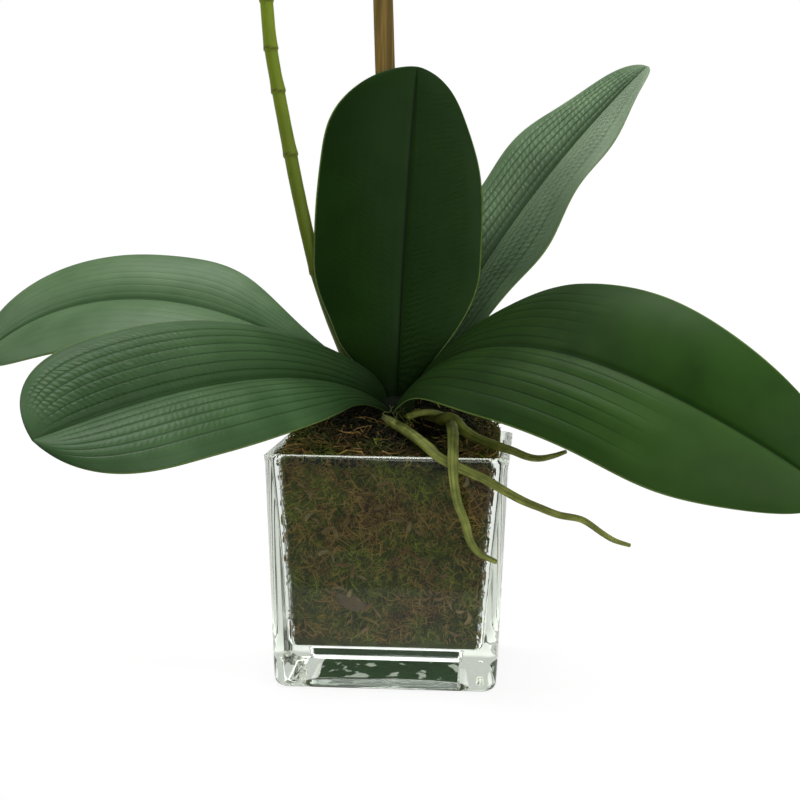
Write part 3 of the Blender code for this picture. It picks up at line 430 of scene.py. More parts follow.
def moss_material(name, greens, browns, patch_scale):
    """Dried moss: dull patches of green and of brown about 2 cm wide, each strand a little
    different, and darkened round the plant's foot with painted shade."""
    made, tree, shader = blank_material(name, {"Roughness": 0.85, "Specular IOR Level": 0.25})
    place = add(tree, "ShaderNodeTexCoord").outputs["Object"]
    steps = add(tree, "ShaderNodeSeparateXYZ", {"Vector": place}).outputs
    strand = add(tree, "ShaderNodeAttribute", attribute_name="strand_tone").outputs["Fac"]
    # Browner towards the top of the glass, and greener again on the heap.
    chosen = add(tree, "ShaderNodeTexNoise", {"Vector": place, "Scale": patch_scale,
                 "Detail": 3.0, "Roughness": 0.6})
    for value, reach, leaning in ((strand, (0.0, 1.0), (-0.10, 0.12)),
                                  (steps["Z"], (0.070, 0.108), (-0.012, 0.045)),
                                  (steps["Z"], (0.115, 0.121), (0.0, -0.075))):
        chosen = add(tree, "ShaderNodeMath", {0: chosen, 1: add(tree, "ShaderNodeMapRange", {
            "Value": value, "From Min": reach[0], "From Max": reach[1], "To Min": leaning[0],
            "To Max": leaning[1]})}, operation="ADD")
    brownness = add(tree, "ShaderNodeMapRange", {"Value": chosen, "From Min": 0.45,
                    "From Max": 0.55})
    # Lighter and darker by strand, by streaks of 2 mm and by patches, and darkened towards the
    # foot with painted shade.
    fibre = add(tree, "ShaderNodeTexNoise", {"Vector": place, "Scale": 420.0, "Detail": 3.0,
                "Distortion": 2.5})
    streak = add(tree, "ShaderNodeMapRange", {"Value": fibre, "From Min": 0.38,
                 "From Max": 0.66})
    lit = add(tree, "ShaderNodeTexNoise", {"Vector": place, "Scale": patch_scale * 3,
              "Detail": 2.0})
    lit = add(tree, "ShaderNodeMapRange", {"Value": lit, "From Min": 0.3, "From Max": 0.7,
              "To Min": -0.15, "To Max": 0.35})
    tuned = add(tree, "ShaderNodeMath", {0: strand, 1: 0.5, 2: lit}, operation="MULTIPLY_ADD")
    shade = add(tree, "ShaderNodeMath", {0: streak, 1: 0.35, 2: tuned},
                operation="MULTIPLY_ADD")
    lower = add(tree, "ShaderNodeMapRange", {"Value": steps["Z"], "From Min": 0.025,
                "From Max": 0.085, "To Min": -0.16, "To Max": 0.0})
    shade = add(tree, "ShaderNodeMath", {0: shade, 1: lower}, operation="ADD")
    green, brown = [add(tree, "ShaderNodeMix", {"Factor": shade, "A": srgb(dark),
                    "B": srgb(light)}, data_type="RGBA") for dark, light in (greens, browns)]
    colour = add(tree, "ShaderNodeMix", {"Factor": brownness, "A": green, "B": brown},
                 data_type="RGBA")
    # Painted shade round the crown, on top of the heap. A few pale dry strands stay as they are.
    flat = add(tree, "ShaderNodeCombineXYZ", {"X": steps["X"], "Y": steps["Y"]})
    from_crown = add(tree, "ShaderNodeVectorMath", {0: flat, 1: CROWN_MIDDLE},
                     operation="DISTANCE")
    near = add(tree, "ShaderNodeMapRange", {"Value": from_crown, "From Min": 0.034,
               "From Max": 0.092, "To Min": 0.95, "To Max": 0.0})
    dull = add(tree, "ShaderNodeMath", {0: strand, 1: 0.88}, operation="LESS_THAN")
    near = add(tree, "ShaderNodeMath", {0: near, 1: dull}, operation="MULTIPLY")
    on_top = add(tree, "ShaderNodeMapRange", {"Value": steps["Z"], "From Min": 0.114,
                 "From Max": 0.120})
    heap_shade_share = add(tree, "ShaderNodeMath", {0: near, 1: on_top}, operation="MULTIPLY")
    crown_shaded = add(tree, "ShaderNodeMix", {"Factor": heap_shade_share, "A": colour, "B": srgb("#0d1006")},
               data_type="RGBA")
    link(tree, crown_shaded, shader, "Base Color")
    return made


mat_dark = moss_material("dried_moss_mat", ("#3c4214", "#7a8038"), ("#463418", "#86693a"), 45.0)
strand_finish = moss_material("dried_moss_strands", ("#4e561a", "#b0b450"),
                              ("#5e4624", "#caa560"), 45.0)
# The heap's mat is a darker copy of the moss: its darkness is painted shade under the leaves.
heap_shaded = moss_material("dried_moss_heap", ("#0c0f05", "#20260e"), ("#130d06", "#2a1f11"), 60.0)

# The wall of moss follows the round between the glass walls and the floor.
side_rings = []
for step in range(17):
    height = mix((VASE_FLOOR + GAP, WALL_MOSS_TOP), (step / 16) ** 1.9)
    snug = mix((0.0005, WALL_MOSS_GAP), min(1.0, (height - VASE_FLOOR) / 0.005))
    ring = []
    for x, y, _ in square_ring(inner_half(height) - snug, 0.0055, height, wave=0.0004):
        low = 1 - min(1.0, (height - VASE_FLOOR) / fillet_at(x, y))
        pull = 1 - fillet_at(x, y) * (1 - math.sqrt(1 - low ** 2)) / inner_half(height)
        ring.append((x * pull, y * pull, height))
    side_rings.append(ring)
lip_rings = [square_ring(inner_half(height) - 0.0026, 0.0052, height)
             for height in (WALL_MOSS_TOP, 0.1125)]
bore_rings = [square_ring(FOAM_SIDE / 2 + GAP, 0.002, height)
              for height in (0.1115, VASE_FLOOR + GAP)]
bm = bmesh.new()
bm.from_mesh(loft("moss_wall_capped", side_rings + lip_rings + bore_rings))
caps = [face for face in bm.faces if len(face.verts) > 4]
bmesh.ops.delete(bm, geom=caps, context="FACES_ONLY")
bmesh.ops.bridge_loops(bm, edges=[edge for edge in bm.edges if edge.is_boundary])
bmesh.ops.recalc_face_normals(bm, faces=bm.faces)
finished("moss_wall", plain_mesh("moss_wall", bm), mat_dark, "moss", "moss_sides", smooth=False)
finished("moss_mound", mound_mesh(), heap_shaded, "moss", "moss_top", smooth=False)


def strand_tree():
    """Geometry Nodes: curled, tapered strands grown all over a surface."""
    tree = bpy.data.node_groups.new("moss_strands", "GeometryNodeTree")
    face = tree.interface
    face.new_socket("Geometry", in_out="OUTPUT", socket_type="NodeSocketGeometry")
    for kind, names in (("Geometry", ("Surface",)), ("Int", ("Points", "Seed")),
                        ("Float", ("Density", "Shortest", "Longest", "Radius", "Curl",
                                   "Curl Scale", "Flatness", "Tilt", "Lift", "Wall Low",
                                   "Wall Slope")), ("Material", ("Finish",))):
        for name in names:
            face.new_socket(name, in_out="INPUT", socket_type="NodeSocket" + kind)
    given = add(tree, "NodeGroupInput").outputs
    roots = add(tree, "GeometryNodeDistributePointsOnFaces", {"Mesh": given["Surface"],
                "Density": given["Density"], "Seed": given["Seed"]})
    toned = add(tree, "GeometryNodeStoreNamedAttribute", {"Geometry": roots.outputs["Points"],
                "Name": "strand_tone", "Value": add(tree, "FunctionNodeRandomValue",
                {"Seed": given["Seed"]}, data_type="FLOAT")}, data_type="FLOAT", domain="POINT")
    held = add(tree, "GeometryNodeStoreNamedAttribute", {"Geometry": toned, "Name": "wall",
               "Value": roots.outputs["Normal"]}, data_type="FLOAT_VECTOR", domain="POINT")
    stick = add(tree, "GeometryNodeResampleCurve", {"Curve": add(
        tree, "GeometryNodeCurvePrimitiveLine", {"Start": (-0.5, 0.0, 0.0),
                                                 "End": (0.5, 0.0, 0.0)}),
        "Count": given["Points"]})
    spin = add(tree, "FunctionNodeRandomValue", {"Min": (0.0, 0.0, 0.0), "Max": (0.0, 0.0, 6.283),
               "Seed": given["Seed"]}, data_type="FLOAT_VECTOR")
    lean = add(tree, "ShaderNodeCombineXYZ", {"Y": add(tree, "FunctionNodeRandomValue", {
        "Min": add(tree, "ShaderNodeMath", {0: given["Tilt"], 1: -1.0}, operation="MULTIPLY"),
        "Max": given["Tilt"]}, data_type="FLOAT")})
    turned = add(tree, "FunctionNodeRotateRotation", {"Rotation": roots.outputs["Rotation"],
                 "Rotate By": add(tree, "FunctionNodeEulerToRotation", {"Euler": spin})},
                 rotation_space="LOCAL")
    leaning = add(tree, "FunctionNodeRotateRotation", {"Rotation": turned,
                  "Rotate By": add(tree, "FunctionNodeEulerToRotation", {"Euler": lean})},
                  rotation_space="LOCAL")
    long = add(tree, "FunctionNodeRandomValue", {"Min": given["Shortest"],
               "Max": given["Longest"]}, data_type="FLOAT")
    laid = add(tree, "GeometryNodeInstanceOnPoints", {"Points": held, "Instance": stick,
               "Rotation": leaning, "Scale": add(tree, "ShaderNodeCombineXYZ", {
                   "X": long, "Y": long, "Z": long})})
    strands = add(tree, "GeometryNodeRealizeInstances", {"Geometry": laid})
    own = add(tree, "GeometryNodeInputNamedAttribute", {"Name": "strand_tone"},
              data_type="FLOAT")
    where = add(tree, "GeometryNodeInputPosition")
    field = add(tree, "ShaderNodeTexNoise", {"Vector": where, "W": add(
        tree, "ShaderNodeMath", {0: own, 1: 9.0}, operation="MULTIPLY"),
        "Scale": given["Curl Scale"], "Detail": 1.0}, noise_dimensions="4D", normalize=False)
    bend = add(tree, "ShaderNodeVectorMath", {0: field.outputs["Color"], "Scale": given["Curl"]},
               operation="SCALE")
    out = add(tree, "GeometryNodeInputNamedAttribute", {"Name": "wall"},
              data_type="FLOAT_VECTOR")
    towards = add(tree, "ShaderNodeVectorMath", {0: bend, 1: out}, operation="DOT_PRODUCT")
    kept = add(tree, "ShaderNodeMath", {0: towards, 1: given["Flatness"]},
               operation="MULTIPLY")
    raised = add(tree, "ShaderNodeMath", {0: given["Lift"], 1: kept}, operation="SUBTRACT")
    offset = add(tree, "ShaderNodeVectorMath", {0: out, "Scale": raised}, operation="SCALE")
    moved = add(tree, "GeometryNodeSetPosition", {"Geometry": strands, "Offset": add(
        tree, "ShaderNodeVectorMath", {0: bend, 1: offset}, operation="ADD")})
    depth = add(tree, "ShaderNodeSeparateXYZ", {"Vector": where}).outputs["Z"]
    wall = add(tree, "ShaderNodeMath", {0: depth, 1: given["Wall Slope"], 2: given["Wall Low"]},
               operation="MULTIPLY_ADD")
    inside = add(tree, "ShaderNodeMath", {0: wall, 1: -1.0}, operation="MULTIPLY")
    held_in = add(tree, "ShaderNodeVectorMath", {0: add(tree, "ShaderNodeVectorMath", {
        0: where, 1: add(tree, "ShaderNodeCombineXYZ", {"X": wall, "Y": wall, "Z": 1.0})},
        operation="MINIMUM"), 1: add(tree, "ShaderNodeCombineXYZ", {
            "X": inside, "Y": inside, "Z": VASE_FLOOR + 0.0009})}, operation="MAXIMUM")
    pressed = add(tree, "GeometryNodeSetPosition", {"Geometry": moved, "Position": held_in})
    along = add(tree, "GeometryNodeSplineParameter").outputs["Factor"]
    swell = add(tree, "ShaderNodeMath", {0: add(tree, "ShaderNodeMath", {0: along, 1: math.pi},
                operation="MULTIPLY")}, operation="SINE")
    taper = add(tree, "ShaderNodeMath", {0: swell, 1: given["Radius"], 2: 0.00012},
                operation="MULTIPLY_ADD")
    round_wire = add(tree, "GeometryNodeCurvePrimitiveCircle", {"Resolution": 3, "Radius": 1.0})
    skin = add(tree, "GeometryNodeCurveToMesh", {"Curve": pressed, "Profile Curve": round_wire,
               "Scale": taper, "Fill Caps": True})
    real = add(tree, "GeometryNodeRealizeInstances", {"Geometry": skin})
    done = add(tree, "GeometryNodeSetMaterial", {"Geometry": real, "Material": given["Finish"]})
    add(tree, "NodeGroupOutput", {"Geometry": done})
    return tree


def grown(name, base, tree, **values):
    """The plain mesh that a Geometry Nodes tree makes of a base mesh, with the inputs named."""
    carrier = bpy.data.objects.new(name + "_carrier", base)
    scene.collection.objects.link(carrier)
    step = carrier.modifiers.new("grow", "NODES")
    step.node_group = tree
    for item in tree.interface.items_tree:
        if item.item_type == "SOCKET" and item.in_out == "INPUT":
            wanted = values.get(item.name.replace(" ", "_").lower())
            if wanted is not None:
                step[item.identifier] = wanted
    bpy.context.view_layer.update()
    graph = bpy.context.evaluated_depsgraph_get()
    mesh = bpy.data.meshes.new_from_object(carrier.evaluated_get(graph))
    mesh.name = name
    bpy.data.objects.remove(carrier)
    return mesh


# Strands and fuzz grow from the four sides behind the glass and are held within its walls.
STRAND_THICK, STRANDS_FROM, STRANDS_TO = 0.0016, 0.0235, 0.1195
moss_strands = strand_tree()
wall_slope = (inner_half(0.12) - inner_half(0.03)) / 0.09
walls = dict(wall_low=inner_half(0.03) - 0.03 * wall_slope - STRAND_THICK, wall_slope=wall_slope)
wall_faces = bmesh.new()
for quarter in range(4):
    turn = Matrix.Rotation(math.radians(90 * quarter), 3, "Z")
    corners = [turn @ Vector((side * (inner_half(h) - 0.003), -(inner_half(h) - WALL_MOSS_GAP), h))
               for side, h in ((-1, STRANDS_FROM), (1, STRANDS_FROM), (1, STRANDS_TO),
                               (-1, STRANDS_TO))]
    wall_faces.faces.new([wall_faces.verts.new(corner) for corner in corners])
wall_mesh = plain_mesh("wall_faces", wall_faces)
for name, growth in (
        ("wall_strands", dict(density=130000.0, shortest=0.002, longest=0.0075, radius=0.00036,
                              curl=0.009, curl_scale=120.0, flatness=0.9, tilt=0.05,
                              lift=0.0005, points=4, seed=3)),
        ("wall_fuzz", dict(density=330000.0, shortest=0.0012, longest=0.0036, radius=0.00026,
                           curl=0.004, curl_scale=220.0, flatness=0.8, tilt=0.15,
                           lift=0.0003, points=3, seed=11))):
    finished(name, grown(name, wall_mesh, moss_strands, finish=strand_finish, **walls, **growth),
             strand_finish, "moss")

# One flat chip of bark lies against the front glass, as pressed-in moss often brings along. It
# is weathered grey brown, with a grain of about 3 mm.
CHIP_X, CHIP_Z, CHIP_INSET, CHIP_HALF = -0.0185, 0.0455, 0.0007, (0.0080, 0.0004, 0.0042)
bark, tree, shader = blank_material("weathered_bark_chip", {"Roughness": 0.9})
place = add(tree, "ShaderNodeTexCoord").outputs["Object"]
grain = add(tree, "ShaderNodeTexNoise", {"Vector": place, "Scale": 350.0, "Detail": 4.0})
tone = add(tree, "ShaderNodeMix", {"Factor": grain, "A": srgb("#5c4c36"), "B": srgb("#8a765a")},
           data_type="RGBA")
link(tree, tone, shader, "Base Color")
chip = bmesh.new()
bmesh.ops.create_icosphere(chip, subdivisions=4, radius=1.0)
for vert in chip.verts:
    x, y, z = vert.co
    swell = 1 + 0.5 * noise.noise(Vector((x * 2.1 + 3, z * 2.1, 0.4)))
    along, out, rise = x * CHIP_HALF[0] * swell, y * CHIP_HALF[1], z * CHIP_HALF[2] * swell
    height = CHIP_Z + rise - 0.25 * along
    vert.co = (CHIP_X + along, -(inner_half(height) - CHIP_INSET - out), height)
finished("bark_chip", plain_mesh("bark_chip", chip), bark, "moss")

# Small curled leaves and husks, paler than the moss, dried flat among it behind the glass.
# They are tan to straw, by age, with fine darker fibres.
HUSKS, HUSK_LENGTH, HUSK_WIDTH, HUSK_THICK = 40, (0.0022, 0.0046), (0.0006, 0.0013), 0.00015
HUSK_SPREAD, HUSK_HEIGHTS = (-0.045, 0.045), (0.028, 0.112)
HUSK_INSET, HUSK_BEND = 0.0006, 140.0
EVEN_STEPS = (0.6180, 0.7549, 0.5698, 0.4142)
husk, tree, shader = blank_material("dried_leaf_husks", {"Roughness": 0.9})
place = add(tree, "ShaderNodeTexCoord").outputs["Object"]
age = add(tree, "ShaderNodeTexNoise", {"Vector": place, "Scale": 60.0, "Detail": 1.0})
age_and_sheen = add(tree, "ShaderNodeMapRange", {"Value": age, "From Min": 0.38, "From Max": 0.62})
fibres = add(tree, "ShaderNodeTexNoise", {"Vector": place, "Scale": 900.0, "Detail": 2.0})
tone = add(tree, "ShaderNodeMix", {"Factor": age_and_sheen, "A": srgb("#8c6238"), "B": srgb("#d2bc84")},
           data_type="RGBA")
tone = add(tree, "ShaderNodeMix", {"Factor": fibres, "A": tone, "B": srgb("#66502e")},
           data_type="RGBA")
link(tree, tone, shader, "Base Color")
husks = bmesh.new()
for index in range(HUSKS):
    share = [(index * step + 0.37) % 1.0 for step in EVEN_STEPS]
    middle_x, middle_z = mix(HUSK_SPREAD, share[0]), mix(HUSK_HEIGHTS, share[1])
    lean = Matrix.Rotation(math.pi * (share[2] - 0.5), 2)
    half_length, half_width = mix(HUSK_LENGTH, share[3]), mix(HUSK_WIDTH, share[2])
    bend = HUSK_BEND * (share[0] - 0.5) * 2
    for vert in bmesh.ops.create_icosphere(husks, subdivisions=2, radius=1.0)["verts"]:
        along = vert.co.x * half_length
        taper = 1 - 0.35 * vert.co.x
        aside = lean @ Vector((along, vert.co.z * half_width * taper + bend * along ** 2))
        height = middle_z + aside.y
        vert.co = (middle_x + aside.x,
                   -(inner_half(height) - HUSK_INSET - vert.co.y * HUSK_THICK), height)
finished("leaf_husks", plain_mesh("leaf_husks", husks), husk, "moss")

# Longer and curlier strands of the same kind lie loose on the heap, round the plant's foot.
HEAP_HALF, HEAP_CELLS = 0.053, 30
# Their colours are the moss's own, with the dark end near black as painted shade under the leaves.
heap_strands = moss_material("dried_moss_heap_strands", ("#1a2207", "#98a838"),
                             ("#2a1d0c", "#b08c50"), 55.0)
heap = bmesh.new()
bmesh.ops.create_grid(heap, x_segments=HEAP_CELLS, y_segments=HEAP_CELLS, size=HEAP_HALF)
for vert in heap.verts:
    vert.co.z = moss_height(vert.co.x, vert.co.y)
finished("mound_strands", grown(
    "mound_strands", plain_mesh("heap_faces", heap), moss_strands, density=330000.0,
    shortest=0.004, longest=0.016, radius=0.00036, curl=0.016, curl_scale=110.0, flatness=0.4,
    tilt=0.5, lift=0.0010, points=6, seed=8, finish=heap_strands, **walls), heap_strands, "moss")

# The crown: the plant's short stem, with the scars of old leaves as rings round it. Every leaf
# and root grows out of it, and its stalk is pushed into the foam.
CROWN_RADIUS, CROWN_WIDEST, CROWN_TOP, CROWN_SIDES = 0.0105, 0.139, 0.148, 40
STALK_RADIUS, STALK_TOP = 0.006, 0.120
profile = []
for angle in range(5, 91, 10):
    swell = math.radians(angle)
    profile.append((CROWN_RADIUS * math.sin(swell),
                    mix((CROWN_WIDEST, CROWN_TOP), math.cos(swell))))
for step in range(1, 25):
    share = step / 24
    scar = 0.0004 * math.sin(share * 44) * (1 - share)
    profile.append((mix((CROWN_RADIUS, STALK_RADIUS), share ** 0.8) + scar,
                    mix((CROWN_WIDEST, STALK_TOP), share)))
profile += [(STALK_RADIUS, 0.076), (0.004, 0.075)]
crown_mesh = loft("crown_stem", [[(radius * math.cos(2 * math.pi * i / CROWN_SIDES),
                                   radius * math.sin(2 * math.pi * i / CROWN_SIDES), height)
                                  for i in range(CROWN_SIDES)]
                                 for radius, height in profile[::-1]])
# Its skin is matt and corky, mottled every few millimetres, and painted nearly black as shade
# under the leaves.
crown_skin, tree, shader = blank_material("corky_stem_skin", {
    "Roughness": 0.8, "Specular IOR Level": 0.1})
place = add(tree, "ShaderNodeTexCoord").outputs["Object"]
mottle = add(tree, "ShaderNodeTexNoise", {"Vector": place, "Scale": 260.0, "Detail": 4.0})
tone = add(tree, "ShaderNodeMix", {"Factor": mottle, "A": srgb("#070b05"),
           "B": srgb("#141a0b")}, data_type="RGBA")
link(tree, tone, shader, "Base Color")
finished("crown_stem", crown_mesh, crown_skin, "crown", "crown")

# The leaves: five broad waxy blades, folded along the midrib, with veins pressed in along them and
# fine quilting across, as a moth orchid's are. Each is 1.2 mm thick, with a painted highlight
# along its rim.
LEAF_THICKNESS = 0.0012
LEAF_ROWS, LEAF_COLUMNS = 140, 68
FOLD_OPENS, LANES, QUILT_REACH = 0.10, 8, 0.0050
# Lengths are in metres and angles in degrees. The midrib starts at seat, sunk in by root, and
# heading and rise go from their first value to their second by the powers turn and droop. The
# halves lift by fold, most at the foot, and curl over by curl. The blade is broadest at the
# share widest, ends the blunter the higher tip is, and starts as wide as foot. Skew makes one
# half wider, and each bump is (half, extra width, share along, spread). Pairs of one kind are
# for the half at s < 0 and the half at s > 0. Veins and quilt are how deep the relief is.
PLAIN_LEAF = dict(foot=(0.09, 0.09), foot_fold=(55.0, 55.0), ease=1.1, skew=0.0, ripple=0.0,
                  bumps=(), swell=0.0, veins_until=(1.1, 1.1), quilt=0.0, quilt_from=0.0,
                  quilt_sides=(1.0, 1.0), quilt_step=0.0038, valley_shade=(0.0, 0.0), pale_sheen=0.0,
                  pale_tone="#6f8f55")
# Dark and light are each leaf's greens with its lighting painted in: the two back leaves are paler
# and greyer for the sheen on them. Crease is painted shade along the midrib, the valley painted
# shade beside it, and the pale share a painted sheen on one half.
LEAVES = {
    "leaf_upright": dict(
        seat=(0.001, 0.002, 0.146), root=0.004, length=0.1815, width=0.0939,
        heading=(81.5, 70.5), turn=0.49, rise=(86.0, 80.0), droop=0.47, roll=(-3.0, 37.0),
        fold=7.5, curl=-21.5, widest=0.41, tip=3.3, foot=(0.10, 0.10), skew=0.093,
        bumps=((1, 0.16, 0.13, 0.07), (1, 0.09, 0.87, 0.13), (-1, -0.08, 0.87, 0.13)),
        veins=0.00004, veins_until=(1.2, 1.2), quilt=0.00012, quilt_from=-0.2,
        quilt_sides=(1.0, 0.12), quilt_step=0.0031, dark="#122807", light="#1b370c",
        crease="#081303", wax=0.08, shaded=0.22, valley_shade=(0.35, 0.0)),
    "leaf_right_back": dict(
        seat=(0.009, 0.0085, 0.1475), root=0.012, length=0.236, width=0.085,
        heading=(49.5, 11.5), turn=1.0, rise=(56.5, 45.0), droop=1.04, roll=(13.5, 17.5),
        fold=27.5, curl=-7.5, widest=0.48, tip=2.77, ripple=0.0022,
        bumps=((1, -0.08, 0.50, 0.12),), veins=0.00060, quilt=0.00011, quilt_sides=(1.0, 0.8),
        dark="#264520", light="#67865c", crease="#1d381a", wax=0.30, shaded=0.82,
        valley_shade=(0.0, 0.75), pale_sheen=0.42, pale_tone="#93a58c"),
    "leaf_right_front": dict(
        seat=(0.0095, -0.0042, 0.1450), root=0.012, length=0.283, width=0.0925,
        heading=(-49.5, 2.5), turn=2.48, rise=(84.0, -36.0), droop=0.35, roll=(25.5, 76.5),
        fold=19.0, curl=-21.0, widest=0.38, tip=2.47, foot=(0.42, 0.22), foot_fold=(5.0, 55.0),
        skew=-0.02,
        bumps=((-1, 0.12, 0.76, 0.14), (1, 0.035, 0.58, 0.14), (-1, 0.30, 0.03, 0.06)),
        swell=0.0005, veins=0.00034, veins_until=(0.75, 0.55), dark="#16330a",
        light="#305219", wax=0.11, shaded=0.74, pale_sheen=0.11),
    "leaf_left_front": dict(
        seat=(-0.008, -0.004, 0.143), root=0.016, length=0.227, width=0.0925,
        heading=(232.5, 222.0), turn=2.22, rise=(45.0, -17.0), droop=0.37, roll=(-43.0, -37.5),
        fold=32.5, curl=-22.5, widest=0.67, tip=3.45, foot=(0.45, 0.25), skew=0.02,
        bumps=((1, -0.25, 0.10, 0.12),), veins=0.00048, quilt=0.00014, quilt_from=0.35,
        quilt_sides=(1.0, 0.35), dark="#203f15", light="#415f38", wax=0.20, shaded=0.40,
        valley_shade=(0.55, 0.0)),
    "leaf_left_back": dict(
        seat=(-0.0085, 0.0065, 0.147), root=0.008, length=0.245, width=0.088,
        heading=(176.0, 178.0), turn=1.63, rise=(33.0, -43.5), droop=1.64, roll=(-37.0, -34.0),
        fold=28.5, curl=-13.5, widest=0.67, tip=2.62, ease=1.9, skew=0.16,
        bumps=((-1, 0.26, 0.40, 0.12), (-1, -0.06, 0.18, 0.08)), veins=0.00011,
        dark="#2e5029", light="#5b774f", wax=0.24, shaded=0.30, valley_shade=(0.4, 0.0)),
}


def smooth_step(value, low, high):
    """From 0 at low to 1 at high, smoothly."""
    share = np.clip((value - low) / (high - low), 0.0, 1.0)
    return share * share * (3 - 2 * share)


def blade_width(shape, t, foot, ease=1.1):
    """A blade's width at t, as a share of its greatest, from its foot to its round tip."""
    rising = np.sin(np.clip(t, 0, None) / shape["widest"] * np.pi / 2)
    falling = np.clip((t - shape["widest"]) / (1 - shape["widest"]), 0, 1)
    return np.where(t < shape["widest"], foot + (1 - foot) * np.clip(rising, 0, 1) ** ease,
                    np.sqrt(1 - falling ** shape["tip"]))


def blade_points(leaf, s, t):
    """Points of a leaf's middle surface for arrays s, across from -1 to 1, and t, along it."""
    fine = np.linspace(0.0, 1.0, 401)
    heading = np.radians(mix(leaf["heading"], fine ** leaf["turn"]))
    rise = np.radians(mix(leaf["rise"], fine ** leaf["droop"]))
    along = np.stack([np.cos(rise) * np.cos(heading), np.cos(rise) * np.sin(heading),
                      np.sin(rise)], axis=1)
    steps = (along[1:] + along[:-1]) / 2 * leaf["length"] / 400
    line = np.vstack([np.zeros(3), np.cumsum(steps, axis=0)]) + np.array(leaf["seat"])
    held = np.clip(t, 0, 1)
    point = np.stack([np.interp(held, fine, line[:, i]) for i in range(3)], axis=-1)
    ahead = np.stack([np.interp(held, fine, along[:, i]) for i in range(3)], axis=-1)
    ahead /= np.linalg.norm(ahead, axis=-1, keepdims=True)
    point = point + ahead * (np.minimum(t, 0) * leaf["length"])[..., None]
    turn = np.interp(held, fine, heading)
    side = np.stack([-np.sin(turn), np.cos(turn), np.zeros_like(turn)], axis=-1)
    upper = np.cross(ahead, side)
    roll = np.radians(mix(leaf["roll"], held))[..., None]
    across = side * np.cos(roll) + upper * np.sin(roll)
    face = upper * np.cos(roll) - side * np.sin(roll)
    left = s < 0
    foot_fold = np.where(left, *leaf["foot_fold"])
    fold = np.radians(leaf["fold"] + (foot_fold - leaf["fold"]) * np.exp(-held / FOLD_OPENS))
    bend = math.radians(leaf["curl"]) - fold
    u = np.abs(s)
    run = (np.sin(fold + bend * u) - np.sin(fold)) / bend
    lift = (np.cos(fold) - np.cos(fold + bend * u)) / bend
    share = np.where(left, blade_width(leaf, t, leaf["foot"][0], leaf["ease"]),
                     blade_width(leaf, t, leaf["foot"][1]))
    for half, extra, centre, spread in leaf["bumps"]:
        share = share * (1 + np.where(s * half > 0, extra, 0.0)
                         * np.exp(-((t - centre) / spread) ** 2))
    width = leaf["width"] / 2 * share * (1 + np.where(left, -1, 1) * leaf["skew"])
    wave = leaf["ripple"] * u ** 3 * np.sin(t * 19.0 + np.where(left, 2.6, 0.8)) * np.minimum(
        1, 4 * t)
    return (point + across * (np.where(left, -1, 1) * run * width)[..., None]
            + face * (lift * width + wave * share)[..., None]), width


def blade_relief(leaf, s, t):
    """How far the upper face stands out, and where its veins and its quilting show."""
    u = np.abs(s)
    open_face = smooth_step(u, 0.03, 0.10) * (1 - smooth_step(u, 0.80, 0.90))
    until = np.where(s < 0, *leaf["veins_until"])
    reach = (1 - smooth_step(t, until - 0.25, until)) * (
        1 - smooth_step(t, 0.93, 1.0)) * smooth_step(t, 0.0, 0.14)
    vein_share = open_face * reach
    ribs = np.abs(np.sin(np.pi * u * LANES)) ** 0.7 - 0.6
    quilt_share = (smooth_step(t, leaf["quilt_from"], leaf["quilt_from"] + 0.35)
                   * smooth_step(u, 0.04, 0.14) * (1 - smooth_step(u, 0.74, 0.92))
                   * (1 - smooth_step(t, 0.92, 0.99))
                   * np.where(s < 0, *leaf["quilt_sides"]))
    midrib = -0.0008 * np.exp(-(u / 0.03) ** 2) * (1 - smooth_step(t, 0.95, 1.0))
    swell = leaf["swell"] * np.cos(2 * np.pi * (u * 2.6 - 0.25)) * np.where(
        s < 0, 1, 0) * smooth_step(u, 0.02, 0.2) * (1 - smooth_step(u, 0.8, 0.95)) * (
        smooth_step(t, 0.05, 0.2) * (1 - smooth_step(t, 0.55, 0.85)))
    return leaf["veins"] * ribs * vein_share + midrib + swell, vein_share, quilt_share


def write_layer(mesh, label, values, kind="FLOAT"):
    """Gives each point of a mesh its number, or its vector, for the colours to read."""
    layer = mesh.attributes.new(label, kind, "POINT")
    layer.data.foreach_set("vector" if kind == "FLOAT_VECTOR" else "value",
                           np.asarray(values, dtype=np.float32).ravel())


def closed_sheet(name, top, under, **layers):
    """One closed skin from two grids of points, the upper and the lower face of a sheet."""
    rows, columns = top.shape[:2]
    count = rows * columns
    index = np.arange(count).reshape(rows, columns)
    a, b, c, d = index[:-1, :-1], index[:-1, 1:], index[1:, 1:], index[1:, :-1]
    quads = np.stack([a, b, c, d], axis=-1).reshape(-1, 4)
    ring = np.concatenate([index[0, :], index[1:, -1], index[-1, -2::-1], index[-2:0:-1, 0]])
    ahead = np.roll(ring, -1)
    walls = np.stack([ring, ring + count, ahead + count, ahead], axis=-1)
    faces = np.vstack([quads, (quads + count)[:, ::-1], walls])
    mesh = bpy.data.meshes.new(name)
    mesh.from_pydata(np.vstack([top.reshape(-1, 3), under.reshape(-1, 3)]).tolist(), [],
                     faces.tolist())
    for label, values in layers.items():
        write_layer(mesh, label, np.tile(values.ravel(), 2))
    write_layer(mesh, "underside", np.repeat([0.0, 1.0], count))
    bm = bmesh.new()
    bm.from_mesh(mesh)
    bmesh.ops.remove_doubles(bm, verts=bm.verts, dist=0.00002)
    bmesh.ops.recalc_face_normals(bm, faces=bm.faces)
    bm.to_mesh(mesh)
    bm.free()
    return mesh


